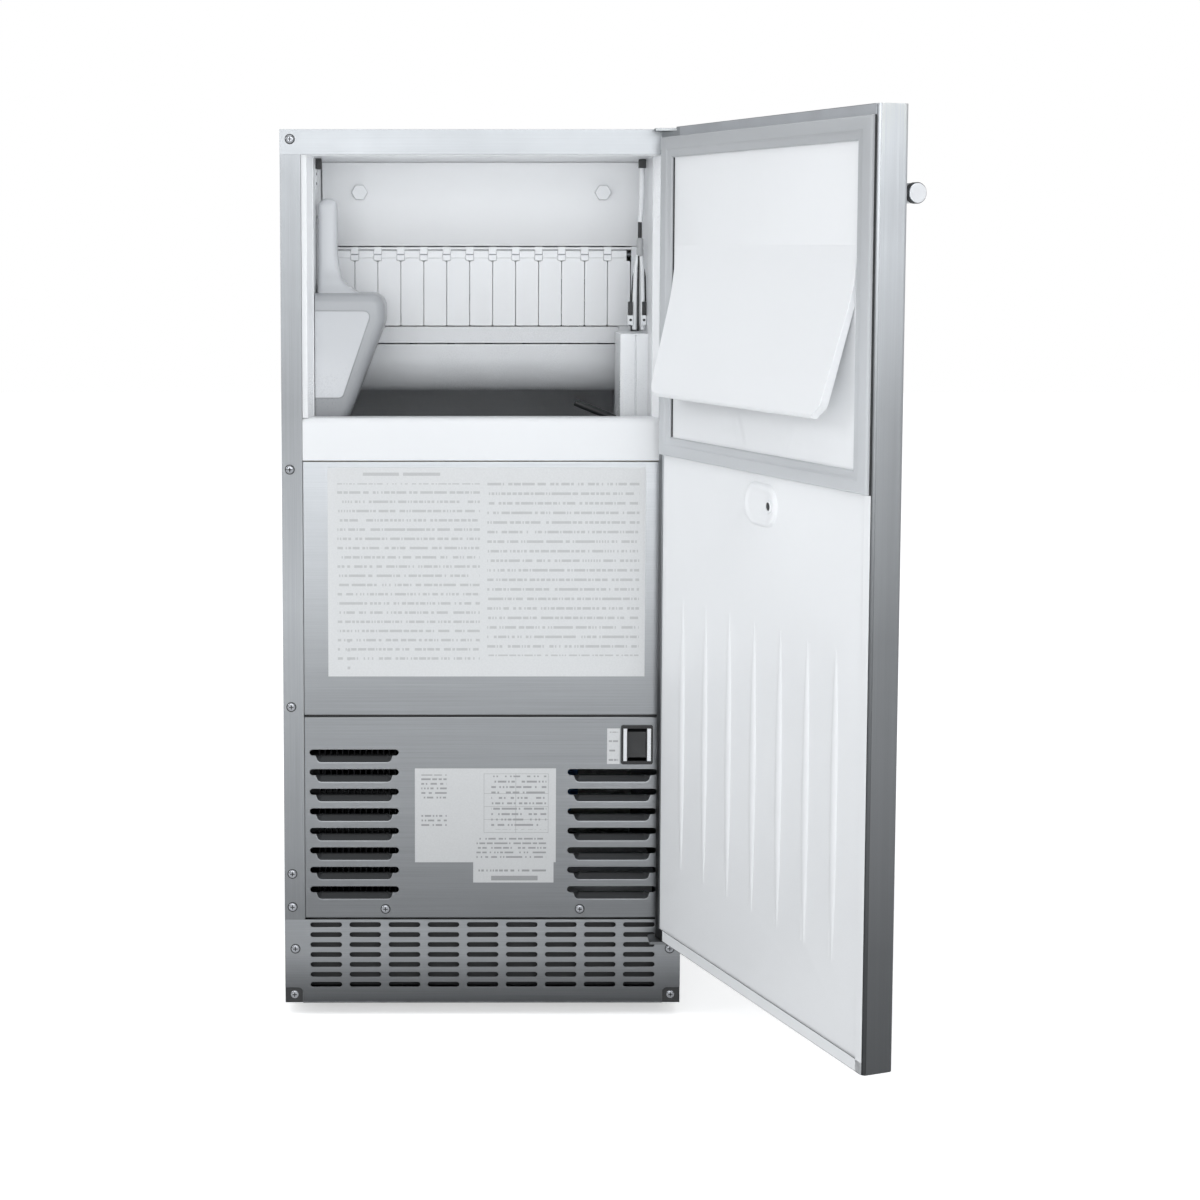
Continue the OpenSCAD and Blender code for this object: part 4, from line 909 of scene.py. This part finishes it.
# Ice scoop: a moulded bowl open towards the wall, with a shallow inset on its front side; the scoop and its handle
# carry painted shade, and the border round the inset more of it, darker towards the bottom
lo, hi = box_mm("ice_scoop")
SCOOP_WALL, OPEN_X, BOWL_TOP, INSET_DEPTH = 2.6, -157.5, 673.0, 1.1
outline = [(-176, BOWL_TOP), (-92, BOWL_TOP), (-92, 646), (-146, 503), (-176, 496)]
inside = [(-180, BOWL_TOP - SCOOP_WALL), (-92 - SCOOP_WALL, BOWL_TOP - SCOOP_WALL),
          (-92 - SCOOP_WALL, 646),
          (-146 - SCOOP_WALL, 505.5), (-180, 498)]
bm = bmesh.new()
prism(bm, rounded(outline, [0, 17, 13, 12, 0], 8), "y", lo.y, hi.y)
bowl = shape(bm, bevel=9.0, segments=6)
bm = bmesh.new()
prism(bm, rounded(inside, [0, 14.5, 11, 10, 0], 8), "y", lo.y + SCOOP_WALL, hi.y - SCOOP_WALL)
hollow = shape(bm, bevel=6.5, segments=5)
bm = bmesh.new()
box(bm, (-200, OPEN_X), (0, 130), (470, 700))
behind_opening = shape(bm)
inset = [(-170, 657), (-103.3, 657), (-131.5, 574.5), (-170, 574.5)]
bm = bmesh.new()
prism(bm, rounded(inset, [0, 6, 6, 0], 6), "y", lo.y - 5, lo.y + INSET_DEPTH)
inset_cut = shape(bm, bevel=0.8, segments=2)
scoop = piece("ice_scoop_v", carved(bowl, hollow, behind_opening, inset_cut), "scoop",
              [M["scoop_edge_shade"], M["scoop"]], "ice_scoop", slot="white_plastic", angle=40)
# the inset keeps the lighter painted-shade grey, the border the darker one
second_material(scoop, lambda face: (abs(face.center.y / MM - lo.y - INSET_DEPTH) < 0.02
                                     and face.normal.y < -0.99))

# Its handle, and the sloping peg that goes into it
SCOOP_Y, HANDLE_BACK, PEG_SLOPE, PEG_R, PEG_ROOM_R = 64, -156, 35, 4.0, 4.6
bm = bmesh.new()
rings = []
for z, x_out, half_y in ((664, -110, 26), (671, -114, 25), (675, -121, 22), (680, -128.5, 18),
                         (687, -133.5, 14.5), (698, -136.3, 12.5), (712, -138, 12), (750, -138, 12),
                         (756, -138.4, 11.8), (759.5, -139.6, 11), (761.4, -142, 9.5),
                         (762, -146, 7)):
    back_x = HANDLE_BACK + max(z - 757, 0) * 1.2
    section = rect(back_x, SCOOP_Y - half_y, x_out, SCOOP_Y + half_y, 4.5 if half_y > 8 else 3, 5)
    rings.append([(x, y, z) for x, y in section])
loft(bm, rings)
grip = shape(bm)
slope = math.radians(PEG_SLOPE)
peg_end = Vector((-LINER_X, SCOOP_Y, 740))
along = Vector((math.cos(slope), 0, math.sin(slope)))
bm = bmesh.new()
tube(bm, [peg_end - along * 10, peg_end + along * 20], PEG_ROOM_R, 32)
piece("scoop_handle", carved(grip, shape(bm)), "scoop", M["scoop"], slot="white_plastic", angle=50)
bm = bmesh.new()
tube(bm, [peg_end + along * s for s in (0, 8, 16.5, 17.5)], PEG_R, 28)
piece("scoop_peg_v", bm, "cabinet", M["white"], "scoop_peg", slot="white_plastic", bevel=0.8,
      angle=60)

# Probe, and the tubes that lead down to it from a clamp at the right wall
PROBE_LEAN, PROBE_R = math.radians(68), 3.4
root = Vector((130.6, 100, 549.5))
reach = Vector((-math.sin(PROBE_LEAN), 0, math.cos(PROBE_LEAN)))
bm = bmesh.new()
tube(bm, [root + reach * s for s in (0, 20, 41.5, 43.1)], PROBE_R, 24)
piece("bin_probe_v", bm, "cabinet", M["black"], "bin_probe", slot="black_plastic", bevel=1.0,
      segments=4, angle=60)
LINE_Y = 80.0


def round_line(bm, points, radius, sides=16):
    """A tube in the plane of the probe's lines, through points in X and Z."""
    tube(bm, [(x, LINE_Y, z) for x, z in points], radius, sides)


bm = bmesh.new()
box(bm, (149.6, 156.6), (LINE_Y - 4.4, LINE_Y + 4.4), (791.5, 799.7))
for x in ((140.4, 144.6), (153.6, 157.7)):
    box(bm, x, (LINE_Y - 3.6, LINE_Y + 3.6), (651, 664))
round_line(bm, [(151.2, 743), (151.2, 733), (151.2, 723)], 1.9)
tube(bm, [(149.9, LINE_Y - 1.6, z) for z in (708, 690, 660, 636)], 1.0, 12)
round_line(bm, [(149.2, 707), (145.2, 688), (143.4, 664)], 0.9, 10)
round_line(bm, [(152.8, 707), (156.4, 688), (157.0, 664)], 0.9, 10)
for x in (142.6, 155.4):
    tube(bm, [(x, LINE_Y - 5.3, 646.5), (x, LINE_Y - 4, 646.5)], 1.3, 14)
piece("probe_fixings", bm, "cabinet", M["black"], slot="black_plastic", bevel=0.5, segments=2,
      angle=50, weld=False)
bm = bmesh.new()
round_line(bm, [(152.9, 792), (152.9, 770), (152.2, 750), (151.4, 740)], 2.6)
round_line(bm, [(149.9, 709), (147.6, 696), (146.8, 672), (146.6, 637)], 2.3)
round_line(bm, [(152.1, 709), (153.4, 696), (154.0, 672), (154.2, 637)], 2.3)
for x in ((139.8, 145.4), (152.6, 157.8)):
    box(bm, x, (LINE_Y - 4.8, LINE_Y + 4.8), (641.5, 651))
piece("probe_tubes", bm, "cabinet", M["white"], slot="white_plastic", bevel=0.9, segments=3,
      angle=50, weld=False)
bm = bmesh.new()
revolve(bm, [(2.2, 725), (3.0, 724.2), (3.4, 722), (3.4, 716), (3.0, 714.8), (3.4, 713.6),
             (3.4, 709.5), (3.1, 708.2), (2.2, 707.4)], (151.4, LINE_Y, 0), "z", 28)
piece("probe_connector", bm, "cabinet", M["grey"], slot="grey_plastic", angle=40)

# End of the chute's rim, between the curtain and the guard
bm = bmesh.new()
box(bm, (137.1, 148.6), (147.2, 151), (629, 638.1))
piece("chute_end", bm, "cabinet", M["white"], slot="white_plastic", bevel=0.5)

# Block and clip at the left end of the ceiling
bm = bmesh.new()
box(bm, (-157.6, -152.4), (56, 64), (789.4, 799.6))
for z in (785, 776):
    tube(bm, [(-LINER_X, 55, z), (-LINER_X + 1.4, 55, z)], 1.3, 14)
piece("ceiling_block", bm, "cabinet", M["black"], slot="black_plastic", bevel=0.5, weld=False)
bm = bmesh.new()
box(bm, (-LINER_X, -LINER_X + 0.8), (51, 59), (771, 790))
piece("ceiling_clip", bm, "cabinet", M["white"], slot="white_plastic", bevel=0.35)

# Switch: a black frame round the well, with bright strips at its sides
clean_copy("switch_housing", M["black_gloss"], bevel=0.5, segments=3)
clean_copy("switch_rocker", M["black"], bevel=0.3)
bm = bmesh.new()
for x0, x1 in ((-12.8, -9.4), (9.6, 13.2)):
    box(bm, (SWITCH_X + x0, SWITCH_X + x1), (-2.35, -1.9), (SWITCH_Z - 15.5, SWITCH_Z + 15.5))
piece("switch_strips", bm, "cabinet", M["chrome"], slot="bezel", bevel=0.15, segments=2, weld=False)


def islands(node):
    """The boxes of the loose parts of a CAD node, in millimetres."""
    bm = bmesh.new()
    bm.from_mesh(NODES[node].data)
    bmesh.ops.remove_doubles(bm, verts=bm.verts, dist=1e-6)
    left, found = set(bm.verts), []
    while left:
        group, edge = set(), [left.pop()]
        while edge:
            v = edge.pop()
            group.add(v)
            for e in v.link_edges:
                w = e.other_vert(v)
                if w in left:
                    left.discard(w)
                    edge.append(w)
        found.append([[f(v.co[i] / MM for v in group) for i in range(3)] for f in (min, max)])
    bm.free()
    return found


# Screws: a domed head with a cross recess, standing in a dark ring; black fills at the floor of the recess are
# painted shade
heads, ring_and_recess_shade_bm, across, down = bmesh.new(), bmesh.new(), bmesh.new(), bmesh.new()
HEAD_R, HEAD_H, RING_W = 3.8, 1.2, 0.9
RECESS, RECESS_W, RECESS_D, RECESS_FLOOR = 2.1, 0.45, 0.75, (0.35, 0.7)
for low, high in islands("front_screws"):
    x, z, y = (low[0] + high[0]) / 2, (low[2] + high[2]) / 2, low[1]
    revolve(heads, [(HEAD_R, y + HEAD_H), (HEAD_R, y + 0.75), (3.45, y + 0.35), (2.7, y + 0.08),
                    (1.4, y)], (x, 0, z), "y", 28)
    revolve(ring_and_recess_shade_bm, [(HEAD_R + RING_W, y + HEAD_H), (HEAD_R + RING_W, y + HEAD_H - 0.15)],
            (x, 0, z), "y", 28)
    for cut, half_x, half_z in ((across, RECESS, RECESS_W), (down, RECESS_W, RECESS)):
        bar_x, bar_z = (x - half_x, x + half_x), (z - half_z, z + half_z)
        # painted shade: black fills the floor of the cross recess
        box(ring_and_recess_shade_bm, bar_x, [y + floor_y for floor_y in RECESS_FLOOR], bar_z)
        box(cut, bar_x, (y - 1, y + RECESS_D), bar_z)
piece("front_screws_v", carved(shape(heads), shape(across), shape(down)), "cabinet", M["screw"],
      "front_screws", slot="screw_steel", angle=30)
piece("screw_rings_and_recess_shade", ring_and_recess_shade_bm, "cabinet", M["black"], slot="black_plastic", weld=False)

# Machinery, feet and outlets
for node, look in (("levelling_feet", "dark_steel"), ("evaporator", "tin"), ("liquid_line", "copper"),
                   ("compressor", "paint"), ("condenser_coil", "dark_fins"), ("water_valve", "blue"),
                   ("drain_spigot", "grey"), ("control_box", "box"), ("power_inlet", "black"),
                   ("circulation_pump", "black"), ("fan_motor", "paint"), ("fan_blade", "black")):
    clean_copy(node, M[look], bevel=0.3)
paint("front_labels", M["label"])

# ---------------- door

# Skin: its rounded free edge and its folded rim take a darker copy of the steel, painted shade over their
# highlight
def rim_for_painted_shade(face):
    closed = OPEN.to_3x3().inverted() @ face.normal
    return closed.x < -0.08 and closed.y > 0.08 or closed.y > 0.99


second_material(clean_copy("door_skin", [M["door_steel"], M["door_corner_shade"]], bevel=0.4), rim_for_painted_shade)

# Liner: the CAD plate without its ribs and boss, which are made again with soft shapes
LINER_FACE = -6.2
bm = bmesh.new()
bm.from_mesh(NODES["door_liner"].data)
plate = shape(bm)
bm = bmesh.new()
box(bm, (-182, 182), (LINER_FACE + 0.004, 6), (135, 530))
bmesh.ops.transform(bm, matrix=OPEN, verts=bm.verts)
piece("door_liner_v", carved(plate, shape(bm)), "door", M["door_white"], "door_liner",
      slot="white_plastic", bevel=1.2, segments=4)
RIB_PITCH, RIB_LOW, RIB_TOP, RIB_HALF, RIB_H = 45, 143, 401, 5.4, 1.7
BOSS_X, BOSS_Z, BOSS_HALF_W, BOSS_HALF_H = -10, 500, 27.5, 18
BOSS_SCREW = (BOSS_X - 17, 0, BOSS_Z)
bm = bmesh.new()
rings = []
for off, y in ((-0.6, -6.2), (0, -5.4), (0.5, -4.4), (1.4, -3.6), (2.6, -3.25), (4.2, -3.25),
               (6.0, -3.7), (7.5, -4.1), (9.0, -4.2)):
    half_x, half_z = BOSS_HALF_W - off, BOSS_HALF_H - off
    rings.append([(BOSS_X + x, y, BOSS_Z + z)
                  for x, z in rect(-half_x, -half_z, half_x, half_z, half_z - 0.1, 10)])
loft(bm, rings)
piece("door_boss", bm, "door", M["door_white"], slot="white_plastic", angle=50, move=OPEN)
bm = bmesh.new()
revolve(bm, [(5.2, -5.0), (5.2, -2.9), (4.9, -2.5), (4.0, -2.5), (3.6, -2.9), (3.6, -5.0)],
        BOSS_SCREW, "y", 32, caps=False)
piece("boss_ring", bm, "door", M["door_white"], slot="white_plastic", angle=40, move=OPEN)
bm = bmesh.new()
revolve(bm, [(3.62, -5.0), (3.62, -3.5), (3.0, -3.3)], BOSS_SCREW, "y", 28)
piece("boss_plug", bm, "door", M["black"], slot="black_plastic", angle=40, move=OPEN)
bm = bmesh.new()
for i in range(-3, 4):
    rings = []
    for k in range(25):
        t = k / 24
        swell = max(math.sin(math.pi * t), 0.002)
        w, h = RIB_HALF * swell ** 0.55, RIB_H * swell ** 0.7
        rings.append([(i * RIB_PITCH + w * math.cos(math.pi * a / 12),
                       LINER_FACE + h * math.sin(math.pi * a / 12) ** 1.4,
                       RIB_LOW + (RIB_TOP - RIB_LOW) * t) for a in range(13)])
    loft(bm, rings)
piece("door_ribs", bm, "door", M["door_white"], slot="white_plastic", angle=75, move=OPEN,
      weld=False)

# Gasket: a mitred frame with a raised face that slopes down to the liner inside. The two tuples
# hold half the width, the bottom and the top; the free side of the door has a wider flange
OUTER, INNER = (179, 526, 815.6), (160, 543, 797)
FREE_SIDE = 4.4
bm = bmesh.new()
rings = []
for f, y in ((0, -4.8), (0, -2.5), (0.04, -1.8), (0.10, -1.5), (0.50, -1.5), (0.58, -1.75),
             (0.66, -2.9), (0.74, -3.3), (0.94, -3.6), (1, -4.4), (1, -6.2), (0.2, -6.2), (0, -4.8)):
    half, low, high = (a + (b - a) * f for a, b in zip(OUTER, INNER))
    free = -half - FREE_SIDE * (1 - f)
    rings.append([(free, y, low), (half, y, low), (half, y, high), (free, y, high)])
loft(bm, rings, caps=False)
piece("door_gasket_v", bm, "door", M["gasket"], "door_gasket", slot="gasket_rubber", angle=25,
      move=OPEN)

# The liner's rim over the folded edge of the skin, black strips painted as shadow at the gasket's edges, band
# above it
RIM_Y, RIM_X = (-4.84, -4.4), -185.3
bm = bmesh.new()
box(bm, (RIM_X, -176.8), RIM_Y, (69.2, 525.6))
box(bm, (RIM_X, 168), RIM_Y, (69.2, 78.6))
piece("liner_rim", bm, "door", M["door_white"], slot="white_plastic", move=OPEN, weld=False)
# painted shadow: black strips along the skin's folded edge and the gasket's inner edge on the hinge side
bm = bmesh.new()
box(bm, (RIM_X, -183.45), RIM_Y, (525.8, 815.5))
box(bm, (158.7, 159.98), (-6.19, -5.3), (543.4, 796.6))
piece("edge_painted_shadow", bm, "door", M["black"], slot="black_plastic", move=OPEN, weld=False)
bm = bmesh.new()
box(bm, (RIM_X, 146), RIM_Y, (815.8, 823.4))
piece("top_joint", bm, "door", M["band"], slot="screw_steel", move=OPEN)

# Deflector: a plate that leaves the liner with a soft curve and ends in a thick round edge
TIP = Vector((18.3, 586))
TIP_R, TOP_HALF, TIP_HALF, CORNER_R = 4.0, 157, 149, 9.0
TOP_Z, ROOT_Z, CORNER_Z, BURIED_Y = 690, 718, 595, LINER_FACE - 1
OUT_TOP, OUT_TIP = Vector((LINER_FACE, 690.5)), Vector((22.17, 587.0))
IN_TOP, IN_TIP = Vector((LINER_FACE, 669.2)), Vector((14.43, 585.0))


def on_line(a, b, z):
    """The point at a height on the line through two points of a side view."""
    return a + (b - a) * ((z - a.y) / (b.y - a.y))


start, bend, end = Vector((LINER_FACE, ROOT_Z)), OUT_TOP, on_line(OUT_TOP, OUT_TIP, 664)
side = [Vector((BURIED_Y, ROOT_Z))]
for k in range(13):
    t = k / 12
    side.append(start * (1 - t) ** 2 + bend * 2 * t * (1 - t) + end * t ** 2)
low_steps = (597, 595, 593.5, 592, 590.5, 589)
side += [on_line(OUT_TOP, OUT_TIP, z) for z in (645, 625, 608, *low_steps)]
side += [Vector(q) for q in arc(TIP.x, TIP.y, TIP_R, 14.4, -165.6, 16)]
side += [on_line(IN_TOP, IN_TIP, z) for z in (*low_steps[::-1], 608, 625, 645)]
side += [IN_TOP, Vector((BURIED_Y, IN_TOP.y))]
ends = ([], [])
for q in side:
    down_by = min(max((TOP_Z - q.y) / (TOP_Z - TIP.y), 0), 1)
    width = TOP_HALF - (TOP_HALF - TIP_HALF) * down_by
    into = min(max(CORNER_Z - q.y, 0), CORNER_R)
    width -= CORNER_R - math.sqrt(CORNER_R ** 2 - into ** 2)
    ends[0].append((-width, q.x, q.y))
    ends[1].append((width, q.x, q.y))
bm = bmesh.new()
loft(bm, ends)
piece("ice_deflector_v", bm, "door", M["door_white"], "ice_deflector", slot="white_plastic",
      bevel=1.3, segments=4, angle=42, move=OPEN)

# Handle: a bar with pale ends, black rings at its posts painted as their shade, and black rings near its ends
# painted as the bar's dark reflection
BAR_Y, BAR_Z, BAR_R, RING_R, POST_X = -66.8, 758, 8, 8.4, 127
second_material(clean_copy("door_handle", [M["handle"], M["bar_end"]], bevel=1.2),
                lambda face: len(face.vertices) > 8)
clean_copy("handle_posts", M["handle"], bevel=0.5)
# painted shade at the posts and painted dark reflection near the bar's ends
bm = bmesh.new()
for x in (-POST_X, POST_X):
    revolve(bm, [(7.1, -38.6), (9.2, -38.6), (9.6, -38.0), (9.6, -33.2), (9.2, -32.8), (7.1, -32.8)],
            (x, 0, BAR_Z), "y", 36, caps=False)
for x0, x1 in ((-145.6, -140.6), (140.6, 145.6)):
    revolve(bm, [(BAR_R - 0.1, x0), (RING_R, x0), (RING_R, x1), (BAR_R - 0.1, x1)],
            (0, BAR_Y, BAR_Z), "x", 40, caps=False)
piece("handle_shade_rings", bm, "door", M["black"], slot="black_plastic", angle=40, move=OPEN)
